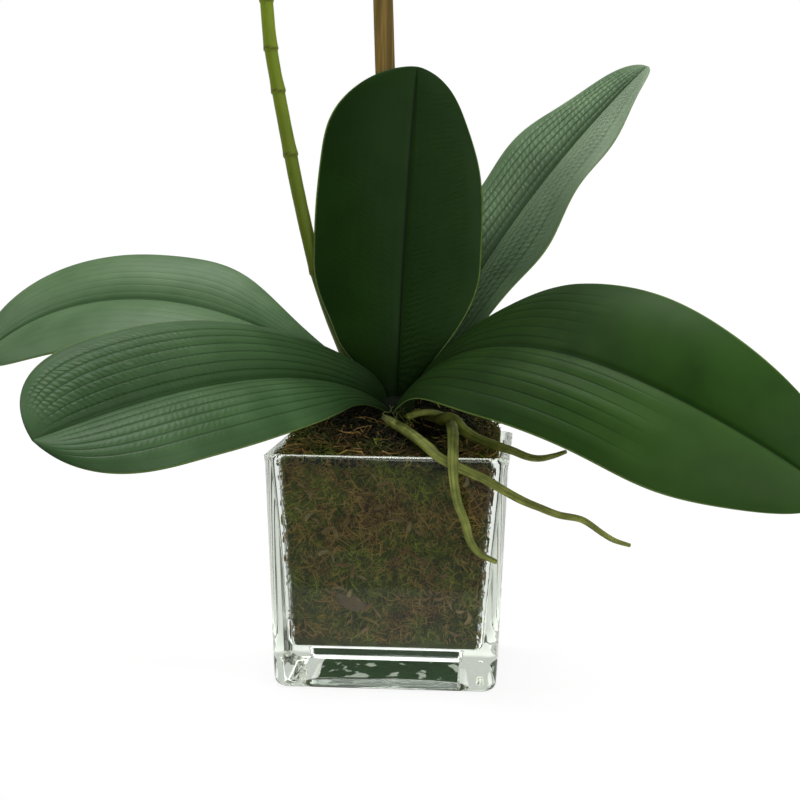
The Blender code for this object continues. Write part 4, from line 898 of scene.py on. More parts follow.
def leaf_mesh(name, leaf):
    """Both faces of a leaf as one closed skin, with the numbers that its colours read."""
    t = 1 - (1 - np.linspace(0, 1, LEAF_ROWS + 1)) ** 1.35
    t = mix((-leaf["root"] / leaf["length"], 1.0 - 1e-6), t)
    s = np.linspace(-1, 1, LEAF_COLUMNS + 1)
    t, s = np.meshgrid(t, s, indexing="ij")
    points, width = blade_points(leaf, s, t)
    normal = np.cross(np.gradient(points, axis=0), np.gradient(points, axis=1))
    normal = normal / np.maximum(np.linalg.norm(normal, axis=-1, keepdims=True), 1e-12)
    relief, vein_share, quilt_share = blade_relief(leaf, s, t)
    quilt_phase = 2 * np.pi * (t * leaf["length"] / leaf["quilt_step"]
                               - np.abs(s) * width / QUILT_REACH)
    relief = relief[..., None]
    edge = np.sqrt(np.clip(1 - np.abs(s) ** 10, 0.0, 1.0))[..., None] * 0.5
    top = points + normal * (relief + LEAF_THICKNESS * edge)
    under = points + normal * (relief * 0.5 - LEAF_THICKNESS * edge)
    return closed_sheet(name, top, under, across=s, share_along=t, vein_share=vein_share,
                        quilt_share=quilt_share, quilt_phase=quilt_phase)


def leaf_material(name, leaf):
    """Waxy leaf skin: deep green, with painted shade in the pressed-in veins and a pale painted
    highlight along its rim.
    """
    made, tree, shader = blank_material(name, {"Roughness": 0.48})
    place = add(tree, "ShaderNodeTexCoord").outputs["Object"]
    across, along, veins, quilted, phase, below = [
        add(tree, "ShaderNodeAttribute", attribute_name=label).outputs["Fac"] for label in (
            "across", "share_along", "vein_share", "quilt_share", "quilt_phase", "underside")]
    # The wax is dull towards the crown.
    shine = add(tree, "ShaderNodeMapRange", {"Value": along, "From Min": 0.10,
                "From Max": leaf["shaded"], "To Min": leaf["wax"] * 0.3, "To Max": leaf["wax"]})
    link(tree, shine, shader, "Specular IOR Level")
    # The veins lie between the lanes, and run the whole way along.
    out = add(tree, "ShaderNodeMath", {0: across}, operation="ABSOLUTE")
    lane = add(tree, "ShaderNodeMath", {0: out, 1: float(LANES)}, operation="MULTIPLY")
    wave = add(tree, "ShaderNodeMath", {0: lane, 1: math.pi}, operation="MULTIPLY")
    wave = add(tree, "ShaderNodeMath", {0: wave}, operation="SINE")
    wave = add(tree, "ShaderNodeMath", {0: wave}, operation="ABSOLUTE")
    groove = add(tree, "ShaderNodeMapRange", {"Value": wave, "From Max": 0.5, "To Min": 1.0,
                 "To Max": 0.0}, interpolation_type="SMOOTHSTEP")
    pressed = add(tree, "ShaderNodeMath", {0: groove, 1: veins}, operation="MULTIPLY")
    # The quilting crosses each lane on its own, with a little wobble.
    shift = add(tree, "ShaderNodeMath", {0: lane}, operation="FLOOR")
    shift = add(tree, "ShaderNodeMath", {0: shift, 1: 2.4}, operation="MULTIPLY")
    wobble = add(tree, "ShaderNodeTexNoise", {"Vector": place, "Scale": 120.0, "Detail": 1.0})
    wobbled = add(tree, "ShaderNodeMath", {0: wobble, 1: 9.0, 2: phase},
                  operation="MULTIPLY_ADD")
    cells = add(tree, "ShaderNodeMath", {0: wobbled, 1: shift}, operation="ADD")
    cells = add(tree, "ShaderNodeMath", {0: cells}, operation="SINE")
    quilting = add(tree, "ShaderNodeMath", {0: cells, 1: quilted}, operation="MULTIPLY")
    # Soft clouds of light and dark green, 3 to 4 cm wide, then painted shade in the veins and
    # along the midrib.
    cloud = add(tree, "ShaderNodeTexNoise", {"Vector": place, "Scale": 28.0, "Detail": 3.0})
    cloud = add(tree, "ShaderNodeMapRange", {"Value": cloud, "From Min": 0.3, "From Max": 0.7,
                "To Min": 0.35})
    colour = add(tree, "ShaderNodeMix", {"Factor": cloud, "A": srgb(leaf["dark"]),
                 "B": srgb(leaf["light"])}, data_type="RGBA")
    # Painted shade: the veins' grooves and the midrib's crease are darkened in colour.
    veined = add(tree, "ShaderNodeMath", {0: pressed, 1: min(0.75, leaf["veins"] * 2000)},
                 operation="MULTIPLY")
    middle = add(tree, "ShaderNodeMapRange", {"Value": out, "From Min": 0.004,
                 "From Max": 0.028, "To Min": 0.85, "To Max": 0.0})
    behind = add(tree, "ShaderNodeMath", {0: below, 1: 0.6}, operation="MULTIPLY")
    layers = [(veined, leaf["dark"]), (middle, leaf.get("crease", leaf["dark"])),
              (behind, "#5d7a45")]
    # Painted shade darkens the hollow beside the midrib, and a painted sheen makes the outer part
    # of one half paler.
    on_half = {side: add(tree, "ShaderNodeMath", {0: across, 1: 0.0}, operation=test)
               for side, test in ((-1.0, "LESS_THAN"), (1.0, "GREATER_THAN"))}
    for side, depth in zip(on_half, leaf["valley_shade"]):
        beside = add(tree, "ShaderNodeMapRange", {"Value": across, "From Min": 0.03 * side,
                     "From Max": 0.42 * side, "To Min": depth, "To Max": 0.0})
        layers.append((add(tree, "ShaderNodeMath", {0: beside, 1: on_half[side]},
                           operation="MULTIPLY"), leaf["dark"]))
    # Painted sheen: one half turns paler and greyer towards its tip, where the light's sheen lies.
    age_and_sheen = add(tree, "ShaderNodeMapRange", {"Value": along, "From Min": 0.35, "From Max": 0.80,
               "To Max": leaf["pale_sheen"]})
    age_and_sheen = add(tree, "ShaderNodeMath", {0: age_and_sheen, 1: on_half[-1.0]}, operation="MULTIPLY")
    # Towards the crown the leaf is in the shade of the others. Its rim is thin, with a pale
    # painted highlight.
    base = add(tree, "ShaderNodeMapRange", {"Value": along, "From Min": 0.03,
               "From Max": leaf["shaded"], "To Min": 0.86, "To Max": 0.0})
    rim_highlight = add(tree, "ShaderNodeMapRange", {"Value": out, "From Min": 0.978, "From Max": 0.992,
              "To Max": 0.75})
    layers += [(age_and_sheen, leaf["pale_tone"]), (base, "#0f1a08"), (rim_highlight, "#7c964a")]
    for share, tone in layers:
        colour = add(tree, "ShaderNodeMix", {"Factor": share, "A": colour, "B": srgb(tone)},
                     data_type="RGBA")
    link(tree, colour, shader, "Base Color")
    # The relief of the quilting and the veins, and a grain under 1 mm that breaks the gloss.
    grain = add(tree, "ShaderNodeTexNoise", {"Vector": place, "Scale": 1400.0, "Detail": 2.0})
    low = add(tree, "ShaderNodeMath", {0: pressed, 1: -leaf["veins"] * 0.5},
              operation="MULTIPLY")
    high = add(tree, "ShaderNodeMath", {0: quilting, 1: leaf["quilt"], 2: low},
               operation="MULTIPLY_ADD")
    height = add(tree, "ShaderNodeMath", {0: grain, 1: 0.000012, 2: high},
                 operation="MULTIPLY_ADD")
    skin = add(tree, "ShaderNodeBump", {"Height": height, "Strength": 1.0, "Distance": 1.0})
    link(tree, skin, shader, "Normal")
    return made


for name, own in LEAVES.items():
    leaf = PLAIN_LEAF | own
    finished(name.replace("leaf_", "") + "_leaf", leaf_mesh(name + "_blade", leaf),
             leaf_material("waxy_" + name, leaf), "leaf", name)

# The roots: two aerial roots creep out of the crown, over the moss and down over the rim. The
# shorter one forks over the moss. Each route is a list of points and the root's radius there.
ROOT_STEP, ROOT_SIDES, ROOT_LUMP, ROOT_LUMP_SCALE = 0.0015, 20, 0.05, 150.0
ROOT_LONG = [
    ((-0.0045, -0.0135, 0.1375), 0.0020), ((-0.0005, -0.019, 0.1360), 0.0026),
    ((0.0072, -0.034, 0.1342), 0.0028), ((0.0158, -0.050, 0.1310), 0.0028),
    ((0.0229, -0.062, 0.1275), 0.0028), ((0.0284, -0.068, 0.1238), 0.0026),
    ((0.0389, -0.0705, 0.1190), 0.0025), ((0.0510, -0.0725, 0.1141), 0.0024),
    ((0.0601, -0.074, 0.1092), 0.0022), ((0.0692, -0.076, 0.1046), 0.0021),
    ((0.0782, -0.078, 0.1013), 0.0019), ((0.0884, -0.080, 0.0979), 0.0018),
    ((0.0985, -0.081, 0.0963), 0.0017), ((0.1036, -0.082, 0.0941), 0.0016),
    ((0.1099, -0.083, 0.0898), 0.0015), ((0.1162, -0.084, 0.0863), 0.0013),
    ((0.1238, -0.084, 0.0840), 0.0010),
]
ROOT_BRANCHES = [
    [((0.0262, -0.0265, 0.1386), 0.0031), ((0.0302, -0.0300, 0.1396), 0.0034),
     ((0.0342, -0.0325, 0.1385), 0.0033), ((0.0392, -0.0365, 0.1342), 0.0030),
     ((0.0458, -0.042, 0.1308), 0.0027), ((0.0566, -0.051, 0.1283), 0.0024),
     ((0.0646, -0.056, 0.1266), 0.0021), ((0.0725, -0.060, 0.1241), 0.0019),
     ((0.0788, -0.063, 0.1238), 0.0017), ((0.0854, -0.065, 0.1254), 0.0014),
     ((0.0917, -0.066, 0.1278), 0.0010)],
    [((0.0318, -0.0275, 0.1370), 0.0026), ((0.0330, -0.042, 0.1368), 0.0029),
     ((0.0346, -0.062, 0.1343), 0.0029), ((0.0353, -0.074, 0.1280), 0.0028),
     ((0.0359, -0.079, 0.1160), 0.0025), ((0.0380, -0.080, 0.1034), 0.0023),
     ((0.0420, -0.080, 0.0930), 0.0022), ((0.0446, -0.081, 0.0843), 0.0020),
     ((0.0492, -0.082, 0.0780), 0.0018), ((0.0577, -0.083, 0.0740), 0.0012)],
    [((0.0098, -0.034, 0.1408), 0.0018), ((0.0153, -0.029, 0.1422), 0.0019),
     ((0.0215, -0.025, 0.1420), 0.0019), ((0.0277, -0.022, 0.1400), 0.0020)],
    [((0.0290, -0.0225, 0.1385), 0.0028), ((0.0230, -0.0165, 0.1385), 0.0028),
     ((0.0172, -0.0106, 0.1388), 0.0025), ((0.0092, -0.0055, 0.1378), 0.0019)],
]


def smooth_route(route, spacing):
    """A smooth curve through a route's own points, as (point, radius) every spacing."""
    points = [Vector(point) for point, _ in route]
    radii = [radius for _, radius in route]
    ends = [2 * points[0] - points[1]] + points + [2 * points[-1] - points[-2]]
    result = []
    for i in range(len(points) - 1):
        a, b, c, d = ends[i:i + 4]
        pieces = max(1, round((c - b).length / spacing))
        for step in range(pieces):
            t = step / pieces
            point = 0.5 * (2 * b + (c - a) * t + (2 * a - 5 * b + 4 * c - d) * t ** 2
                           + (3 * b - a - 3 * c + d) * t ** 3)
            result.append((point, mix((radii[i], radii[i + 1]), t)))
    result.append((points[-1], radii[-1]))
    return result


def rod(name, stations, sides, lump=0.0, lump_scale=1.0):
    """A closed round rod through (point, radius) stations, with rounded ends and low lumps. Its
    lengthwise vectors let a pattern run along it."""
    ends = []
    for (point, radius), (inner, _) in (stations[:2], stations[:-3:-1]):
        out = (point - inner).normalized() * radius * 0.7
        ends.append([(point + out * math.sin(math.radians(a)), radius * math.cos(math.radians(a)))
                     for a in (88, 60, 30)])
    whole = ends[0] + stations + ends[1][::-1]
    across = (stations[0][0] - stations[1][0]).normalized().orthogonal().normalized()
    rings = []
    for i, (point, radius) in enumerate(whole):
        ahead = (whole[min(i + 1, len(whole) - 1)][0] - whole[max(i - 1, 0)][0]).normalized()
        across = (across - ahead * across.dot(ahead)).normalized()
        up = ahead.cross(across)
        ring = []
        for side in range(sides):
            angle = 2 * math.pi * side / sides
            out = across * math.cos(angle) + up * math.sin(angle)
            swell = 1 + lump * noise.noise((point + out * radius) * lump_scale)
            ring.append(tuple(point + out * radius * swell))
        rings.append(ring)
    mesh = loft(name, rings)
    run = np.cumsum([0.0] + [(b[0] - a[0]).length for a, b in zip(whole, whole[1:])])
    turn = 2 * np.pi * np.arange(sides) / sides
    write_layer(mesh, "lengthwise", np.stack(np.broadcast_arrays(
        3 * np.cos(turn), 3 * np.sin(turn), 40 * run[:, None]), -1), "FLOAT_VECTOR")
    return mesh


def joined(name, meshes):
    """One mesh of several."""
    bm = bmesh.new()
    for mesh in meshes:
        bm.from_mesh(mesh)
    return plain_mesh(name, bm)


# Velamen, the roots' dry olive skin: matt, blotched every 7 mm, with dark folds that run along it,
# fine pits, and painted shade darkening it where it comes out of the crown.
velamen, tree, shader = blank_material("dry_root_velamen", {"Roughness": 0.62})
place = add(tree, "ShaderNodeTexCoord").outputs["Object"]
blotch = add(tree, "ShaderNodeTexNoise", {"Vector": place, "Scale": 140.0, "Detail": 4.0})
sharper = add(tree, "ShaderNodeMapRange", {"Value": blotch, "From Min": 0.35, "From Max": 0.68})
tone = add(tree, "ShaderNodeMix", {"Factor": sharper, "A": srgb("#6a7422"),
           "B": srgb("#9ca34a")}, data_type="RGBA")
steps = add(tree, "ShaderNodeSeparateXYZ", {"Vector": place}).outputs
flat = add(tree, "ShaderNodeCombineXYZ", {"X": steps["X"], "Y": steps["Y"]})
from_crown = add(tree, "ShaderNodeVectorMath", {0: flat, 1: CROWN_MIDDLE}, operation="DISTANCE")
root_shade_share = add(tree, "ShaderNodeMapRange", {"Value": from_crown, "From Min": 0.012,
             "From Max": 0.028, "To Min": 0.85, "To Max": 0.0})
crown_shaded = add(tree, "ShaderNodeMix", {"Factor": root_shade_share, "A": tone, "B": srgb("#1c220b")},
           data_type="RGBA")
wrinkle = add(tree, "ShaderNodeTexNoise", {"Vector": add(tree, "ShaderNodeAttribute",
              attribute_name="lengthwise").outputs["Vector"], "Scale": 1.0, "Detail": 2.0})
folds = add(tree, "ShaderNodeMapRange", {"Value": wrinkle, "From Min": 0.36, "From Max": 0.56,
            "To Min": 0.60, "To Max": 0.0})
folded = add(tree, "ShaderNodeMix", {"Factor": folds, "A": crown_shaded, "B": srgb("#39410f")},
             data_type="RGBA")
link(tree, folded, shader, "Base Color")
pits = add(tree, "ShaderNodeTexNoise", {"Vector": place, "Scale": 900.0, "Detail": 3.0})
both = add(tree, "ShaderNodeMath", {0: wrinkle, 1: 2.4, 2: pits}, operation="MULTIPLY_ADD")
rough = add(tree, "ShaderNodeBump", {"Height": both, "Strength": 0.5, "Distance": 0.0005})
link(tree, rough, shader, "Normal")
for name, node, routes in (("long_root", "root_long", [ROOT_LONG]),
                           ("branched_root", "root_branched", ROOT_BRANCHES)):
    finished(name, joined(name, [rod("branch", smooth_route(route, ROOT_STEP), ROOT_SIDES,
                                     ROOT_LUMP, ROOT_LUMP_SCALE) for route in routes]),
             velamen, "root", node)
# Thread roots hang about the crown, thinner and more crooked towards their tips.
TENDRIL_STEPS, TENDRIL_SWAY, TENDRIL_RADIUS, TENDRIL_TAPER = 12, 0.009, 0.00034, 0.0002
tendrils = []
for start, reach in (((-0.002, -0.011, 0.1440), (0.004, -0.024, 0.1365)),
                     ((0.000, -0.011, 0.1435), (-0.006, -0.027, 0.1368)),
                     ((0.003, -0.011, 0.1450), (0.002, -0.035, 0.1352)),
                     ((0.004, -0.011, 0.1430), (0.015, -0.026, 0.1372)),
                     ((0.006, -0.010, 0.1445), (0.008, -0.040, 0.1355)),
                     ((0.001, -0.012, 0.1420), (0.011, -0.033, 0.1362))):
    path = []
    for step in range(TENDRIL_STEPS + 1):
        share = step / TENDRIL_STEPS
        sway = Vector([noise.noise(Vector((reach[0] * 900, share * 3.5, axis + 0.5)))
                       for axis in range(3)]) * TENDRIL_SWAY * share
        path.append((Vector(start).lerp(Vector(reach), share) + sway,
                     TENDRIL_RADIUS - TENDRIL_TAPER * share))
    tendrils.append(rod("tendril", smooth_route(path, 0.0012), 8, 0.1, 300.0))
finished("root_tendrils", joined("root_tendrils", tendrils), velamen, "root")

# The stake: a slat split from a bamboo cane and stained brown, stood behind the leaves. A low
# knot crosses it where each joint of the cane was.
STAKE_FOOT, STAKE_TOP = Vector((0.0003, 0.034, 0.060)), Vector((-0.0195, 0.034, 0.580))
STAKE_WIDTH, STAKE_THICKNESS, STAKE_EDGE = 0.0108, 0.0035, 0.0008
STAKE_HEIGHT, STAKE_STEP, STAKE_BEVEL = 0.52, 0.004, 0.0003
STAKE_KNOTS, KNOT_HALF = (0.235, 0.450), 0.0016
stake_along = STAKE_TOP - STAKE_FOOT
stake_turn = Vector((0, 0, 1)).rotation_difference(stake_along.normalized())
section = []
for x_side, y_side, first_angle in ((1, -1, 270), (1, 1, 0), (-1, 1, 90), (-1, -1, 180)):
    for step in range(5):
        angle = math.radians(first_angle + 22.5 * step)
        section.append((
            x_side * (STAKE_WIDTH / 2 - STAKE_EDGE) + STAKE_EDGE * math.cos(angle),
            y_side * (STAKE_THICKNESS / 2 - STAKE_EDGE) + STAKE_EDGE * math.sin(angle)))
heights = {step * STAKE_STEP for step in range(1, round(STAKE_HEIGHT / STAKE_STEP))}
heights |= {STAKE_BEVEL, STAKE_HEIGHT - STAKE_BEVEL}
heights |= {knot - STAKE_FOOT.z + d * 0.0006 for knot in STAKE_KNOTS for d in range(-5, 6)}
stake_rings = []
for height in sorted(heights):
    knot = max(math.exp(-((height + STAKE_FOOT.z - z) / KNOT_HALF) ** 2) for z in STAKE_KNOTS)
    wide = 1 + 0.07 * knot + 0.006 * noise.noise(Vector((height * 40, 0, 0)))
    thick = 1 + 0.12 * knot
    along = height * stake_along.length / STAKE_HEIGHT
    stake_rings.append([tuple(STAKE_FOOT + stake_turn @ Vector((x * wide, y * thick, along)))
                        for x, y in section])
# Stained bamboo: half matt, with fibres under 1 mm wide and broader bands along its length.
bamboo, tree, shader = blank_material("stained_split_bamboo", {
    "Roughness": 0.55, "Specular IOR Level": 0.25})
place = add(tree, "ShaderNodeTexCoord").outputs["Object"]
fibre_way = add(tree, "ShaderNodeMapping", {"Vector": place,
                "Rotation": (0.0, math.radians(-2.18), 0.0), "Scale": (1.0, 1.0, 0.02)})
fibres = add(tree, "ShaderNodeTexNoise", {"Vector": fibre_way, "Scale": 1500.0, "Detail": 4.0,
             "Roughness": 0.7})
bands = add(tree, "ShaderNodeTexNoise", {"Vector": fibre_way, "Scale": 300.0, "Detail": 2.0})
grain = add(tree, "ShaderNodeMath", {0: fibres, 1: bands}, operation="MULTIPLY")
tone = add(tree, "ShaderNodeMapRange", {"Value": grain, "From Min": 0.15, "From Max": 0.38})
wood = add(tree, "ShaderNodeMix", {"Factor": tone, "A": srgb("#4f3f14"), "B": srgb("#937838")},
           data_type="RGBA")
link(tree, wood, shader, "Base Color")
ribs = add(tree, "ShaderNodeBump", {"Height": fibres, "Strength": 0.35, "Distance": 0.0003})
link(tree, ribs, shader, "Normal")
finished("stake", loft("bamboo_slat", stake_rings), bamboo, "bamboo", "bamboo_stake")

# The spike: the flowers' green stem, up out of the foam, tied to the stake and arching over.
# Each joint stands out a little under a thin dark ring, and every bloom has its own stalk.
SPIKE_ROUTE = [
    ((0.0065, 0.023, 0.090), 0.0037), ((-0.0155, 0.023, 0.140), 0.0038),
    ((-0.0280, 0.023, 0.167), 0.0039), ((-0.0375, 0.023, 0.190), 0.0039),
    ((-0.0460, 0.023, 0.215), 0.0038), ((-0.0540, 0.023, 0.247), 0.0037),
    ((-0.0618, 0.023, 0.284), 0.0037), ((-0.0675, 0.023, 0.313), 0.0036),
    ((-0.0715, 0.023, 0.335), 0.0036), ((-0.0740, 0.023, 0.361), 0.0036),
    ((-0.0765, 0.0235, 0.400), 0.0035), ((-0.0770, 0.024, 0.440), 0.0034),
    ((-0.0700, 0.026, 0.482), 0.0032), ((-0.0500, 0.0275, 0.525), 0.0030),
    ((-0.0240, 0.0283, 0.560), 0.0028), ((0.0100, 0.0275, 0.590), 0.0026),
    ((0.0480, 0.025, 0.607), 0.0024), ((0.0900, 0.021, 0.603), 0.0022),
    ((0.1280, 0.017, 0.582), 0.0020), ((0.1600, 0.013, 0.550), 0.0018),
    ((0.1840, 0.009, 0.508), 0.0016), ((0.2000, 0.006, 0.462), 0.0014),
    ((0.2090, 0.004, 0.412), 0.0012),
]
SPIKE_JOINTS = (0.2145, 0.278, 0.3125, 0.335, 0.3605, 0.396, 0.440, 0.488)
TIE_STATION = 14
BLOOMS, BLOOM_FIRST, BLOOM_PITCH, BLOOM_SIDE = 7, 0.016, 0.045, 0.029
BLOOM_FORWARD, BLOOM_SCALE = (0.028, 0.047), (1.04, 0.90)
BLOOM_NOD, BLOOM_TURN = 9.0, 7.0
STALK_THICK, HUB_RADIUS = 0.0013, 0.0045
BUDS, BUD_FIRST, BUD_PITCH, BUD_SIDE = 3, 0.332, 0.024, 0.014
BUD_LENGTH = (0.021, 0.013)

arch = [point for point, _ in smooth_route(SPIKE_ROUTE, 0.004)]
tied = Vector(SPIKE_ROUTE[TIE_STATION][0])
arch = arch[min(range(len(arch)), key=lambda i: (arch[i] - tied).length):]


def arch_point(distance):
    """The point at a distance past the tie, and the spike's direction there."""
    travelled = 0.0
    for one, other in zip(arch, arch[1:]):
        reach = (other - one).length
        if travelled + reach >= distance:
            return one.lerp(other, (distance - travelled) / reach), (other - one) / reach
        travelled += reach
    return arch[-1], (arch[-1] - arch[-2]).normalized()


bloom_places, bud_places = [], []
for index in range(BLOOMS):
    on_spike, along = arch_point(BLOOM_FIRST + BLOOM_PITCH * index)
    side = 1 if index % 2 == 0 else -1
    out = Vector((-along.z, 0.0, along.x)).normalized() * side
    centre = on_spike + out * BLOOM_SIDE + Vector((0, -BLOOM_FORWARD[0 if side > 0 else 1], 0))
    turn = Euler((math.radians(BLOOM_NOD + 3 * math.sin(index * 2.1)),
                  math.radians(5 * math.sin(index * 1.7)),
                  math.radians(BLOOM_TURN * math.sin(index * 2.6 + 0.6))))
    bloom_places.append((centre, turn, mix(BLOOM_SCALE, index / (BLOOMS - 1)), on_spike))
for index in range(BUDS):
    on_spike, along = arch_point(BUD_FIRST + BUD_PITCH * index)
    out = Vector((-along.z, -0.35, along.x)).normalized() * (-1 if index % 2 == 0 else 1)
    out.y = -abs(out.y) - 0.25
    length = mix(BUD_LENGTH, index / (BUDS - 1))
    bud_places.append((on_spike + out.normalized() * (BUD_SIDE + length / 2)
                       + Vector((0, 0, -0.002)), length, on_spike))


def stalk(start, end, leaving, arriving, radius):
    """A short curved flower stalk whose foot is sunk in the spike."""
    reach = (end - start).length
    b, c = start + leaving * reach * 0.5, end - arriving * reach * 0.4
    stations = []
    for step in range(13):
        t = step / 12
        stations.append((start * (1 - t) ** 3 + b * 3 * t * (1 - t) ** 2
                         + c * 3 * t ** 2 * (1 - t) + end * t ** 3,
                         radius * (1.25 - 0.35 * math.sin(math.pi * t))))
    return rod("flower_stalk", stations, 12, 0.06, 500.0)


spike_stations = []
for point, radius in smooth_route(SPIKE_ROUTE, 0.0012):
    past = min((point.z - joint for joint in SPIKE_JOINTS if point.x < 0.0
                and point.z >= joint - 0.0008), default=1.0)
    step_out = 0.0006 * math.exp(-max(past, 0.0) / 0.0035) if past < 0.03 else 0.0
    spike_stations.append((point, radius + step_out))
spike_parts = [rod("spike_stem", spike_stations, 24, 0.03, 120.0)]
for centre, turn, scale, on_spike in bloom_places:
    behind = turn.to_matrix() @ Vector((0.0, 1.0, 0.0))
    end = centre + behind * (HUB_RADIUS * scale + GAP)
    spike_parts.append(stalk(on_spike, end, (end - on_spike).normalized(), -behind,
                             STALK_THICK))
for centre, length, on_spike in bud_places:
    towards = (centre - on_spike).normalized()
    spike_parts.append(stalk(on_spike, centre - towards * (length / 2 + GAP), towards, towards,
                             STALK_THICK * 0.8))
spike_mesh = joined("flower_spike_stem", spike_parts)
# The rings lie a little askew, and only on the straight of the stem, which is left of the middle.
RING_LEAN, RING_HALF, STRAIGHT = 0.15, 0.0006, 200
spots = np.empty(len(spike_mesh.vertices) * 3, dtype=np.float32)
spike_mesh.vertices.foreach_get("co", spots)
spots = spots.reshape(-1, 3)
straight = [point for point, _ in spike_stations[:STRAIGHT]]
ring_x = np.interp(SPIKE_JOINTS, [point.z for point in straight], [point.x for point in straight])
nearest = np.min(np.abs(spots[:, 2:3] + spots[:, 0:1] * RING_LEAN
                        - (np.array(SPIKE_JOINTS) + RING_LEAN * ring_x)), axis=1)
write_layer(spike_mesh, "joint_ring",
            np.where(spots[:, 0] < 0.0, np.exp(-(nearest / RING_HALF) ** 2), 0.0))
# Green stem skin: half matt, in soft clouds, darkened low down with painted shade, and brownish at
# the joints.
stem_skin, tree, shader = blank_material("green_flower_stem", {
    "Roughness": 0.5, "Specular IOR Level": 0.2})
place = add(tree, "ShaderNodeTexCoord").outputs["Object"]
cloud = add(tree, "ShaderNodeTexNoise", {"Vector": place, "Scale": 60.0, "Detail": 3.0})
upper_green = add(tree, "ShaderNodeMix", {"Factor": cloud, "A": srgb("#6f8616"),
            "B": srgb("#8a9e28")}, data_type="RGBA")
# Painted shade: the stem turns darker and more olive low down.
height = add(tree, "ShaderNodeMapRange", {"Value": add(tree, "ShaderNodeSeparateXYZ", {
    "Vector": place}).outputs["Z"], "From Min": 0.18, "From Max": 0.36})
green = add(tree, "ShaderNodeMix", {"Factor": height, "A": srgb("#43500f"), "B": upper_green},
            data_type="RGBA")
ring = add(tree, "ShaderNodeAttribute", attribute_name="joint_ring").outputs["Fac"]
ringed = add(tree, "ShaderNodeMix", {"Factor": ring, "A": green, "B": srgb("#57501f")},
             data_type="RGBA")
link(tree, ringed, shader, "Base Color")
finished("flower_spike_stem", spike_mesh, stem_skin, "spike", "flower_spike")

# The tie: soft wire in a glossy green plastic skin, looped once round the stake and the spike
# and closed on itself.
TIE_RADIUS = 0.0008
stake_there = STAKE_FOOT.lerp(STAKE_TOP, (tied.z - STAKE_FOOT.z) / stake_along.z)
clear = TIE_RADIUS + 3 * GAP
tie_back = stake_there.y + STAKE_THICKNESS / 2 + clear
tie_front = tied.y - SPIKE_ROUTE[TIE_STATION][1] - clear
tie_half = abs(stake_there.x - tied.x) / 2 + STAKE_WIDTH / 2 + clear
tie_corner = TIE_RADIUS * 2.5
wire_points = []
for index, (x, y) in enumerate(((1, 1), (-1, 1), (-1, -1), (1, -1))):
    centre = Vector(((stake_there.x + tied.x) / 2 + x * (tie_half - tie_corner),
                     (tie_back + tie_front) / 2 + y * ((tie_back - tie_front) / 2 - tie_corner),
                     tied.z))
    for step in range(7):
        angle = math.radians(90 * index + 15 * step)
        wire_points.append(centre + Vector((math.cos(angle), math.sin(angle), 0)) * tie_corner)
wire_points.append(wire_points[0] + Vector((0.0, -0.0005, 0.0)))
plastic_wire, tree, shader = blank_material("plastic_coated_wire", {
    "Base Color": srgb("#2f5a22"), "Roughness": 0.35})
finished("wire_loop", rod("wire_loop", [(point, TIE_RADIUS) for point in wire_points], 12),
         plastic_wire, "tie_wire", "spike_tie")

# The blooms: three sepals and two broad round petals, matt white and thin enough to glow a
# little, round a short column, with a small yellow lip marked in red. All grow on the spike.
SHEETS = [dict(length=0.041, width=0.029, towards=90.0, layer=0.0017, back=0.0035, cup=-0.0015)]
SHEETS += [dict(length=0.038, width=0.027, towards=towards, layer=0.0017, back=0.0045,
                cup=-0.0015) for towards in (219.0, 321.0)]
SHEETS += [dict(length=0.045, width=0.054, towards=towards, layer=-0.0028, back=0.0030,
                cup=0.0016) for towards in (6.0, 174.0)]
SHEET_START, BACKWARDS = 0.0015, np.array((0.0, 1.0, 0.0))
COLUMN_RADIUS, COLUMN_LENGTH = 0.0028, 0.012
LIP_CORE = np.array((0.0, -0.0046, -0.0064))
LIP_DIVE, LIP_LENGTH, LIP_WIDTH = (25.0, 85.0), 0.020, 0.013
LOBE_LENGTH, LOBE_WIDTH, LOBE_SPREAD = 0.0125, 0.010, 32.0


def petal_sheet(length, width, towards, layer, back, cup, seed):
    """One petal or sepal: a smooth blade, gently wavy towards its edge."""
    t = 1 - (1 - np.linspace(0.0, 1.0 - 1e-6, 31)) ** 1.4
    s = np.linspace(-1, 1, 27)
    t, s = np.meshgrid(t, s, indexing="ij")
    share = blade_width(dict(widest=0.55, tip=2.2), t, 0.22)
    out = np.array((math.cos(math.radians(towards)), 0.0, math.sin(math.radians(towards))))
    side = np.array((-out[2], 0.0, out[0]))
    wave = 0.0007 * np.abs(s) ** 3 * np.sin(7 * t + seed + np.where(s > 0, 1.7, 0.0)) * t
    depth = layer + back * t ** 2 + cup * s ** 2 * share + wave
    points = (out * (SHEET_START + (length - SHEET_START) * t)[..., None]
              + side * (s * width / 2 * share)[..., None] + BACKWARDS * depth[..., None])
    veins = 0.00006 * np.sin(s * 30) * (1 - np.abs(s) ** 6)
    thick = BACKWARDS * (0.0004 * (1 - 0.7 * np.abs(s) ** 4))[..., None]
    crease = BACKWARDS * (veins + 0.0004 * np.exp(-(s / 0.06) ** 2) * (1 - t))[..., None]
    return closed_sheet("petal", points + crease - thick, points + crease + thick,
                        across=s, share_along=t)


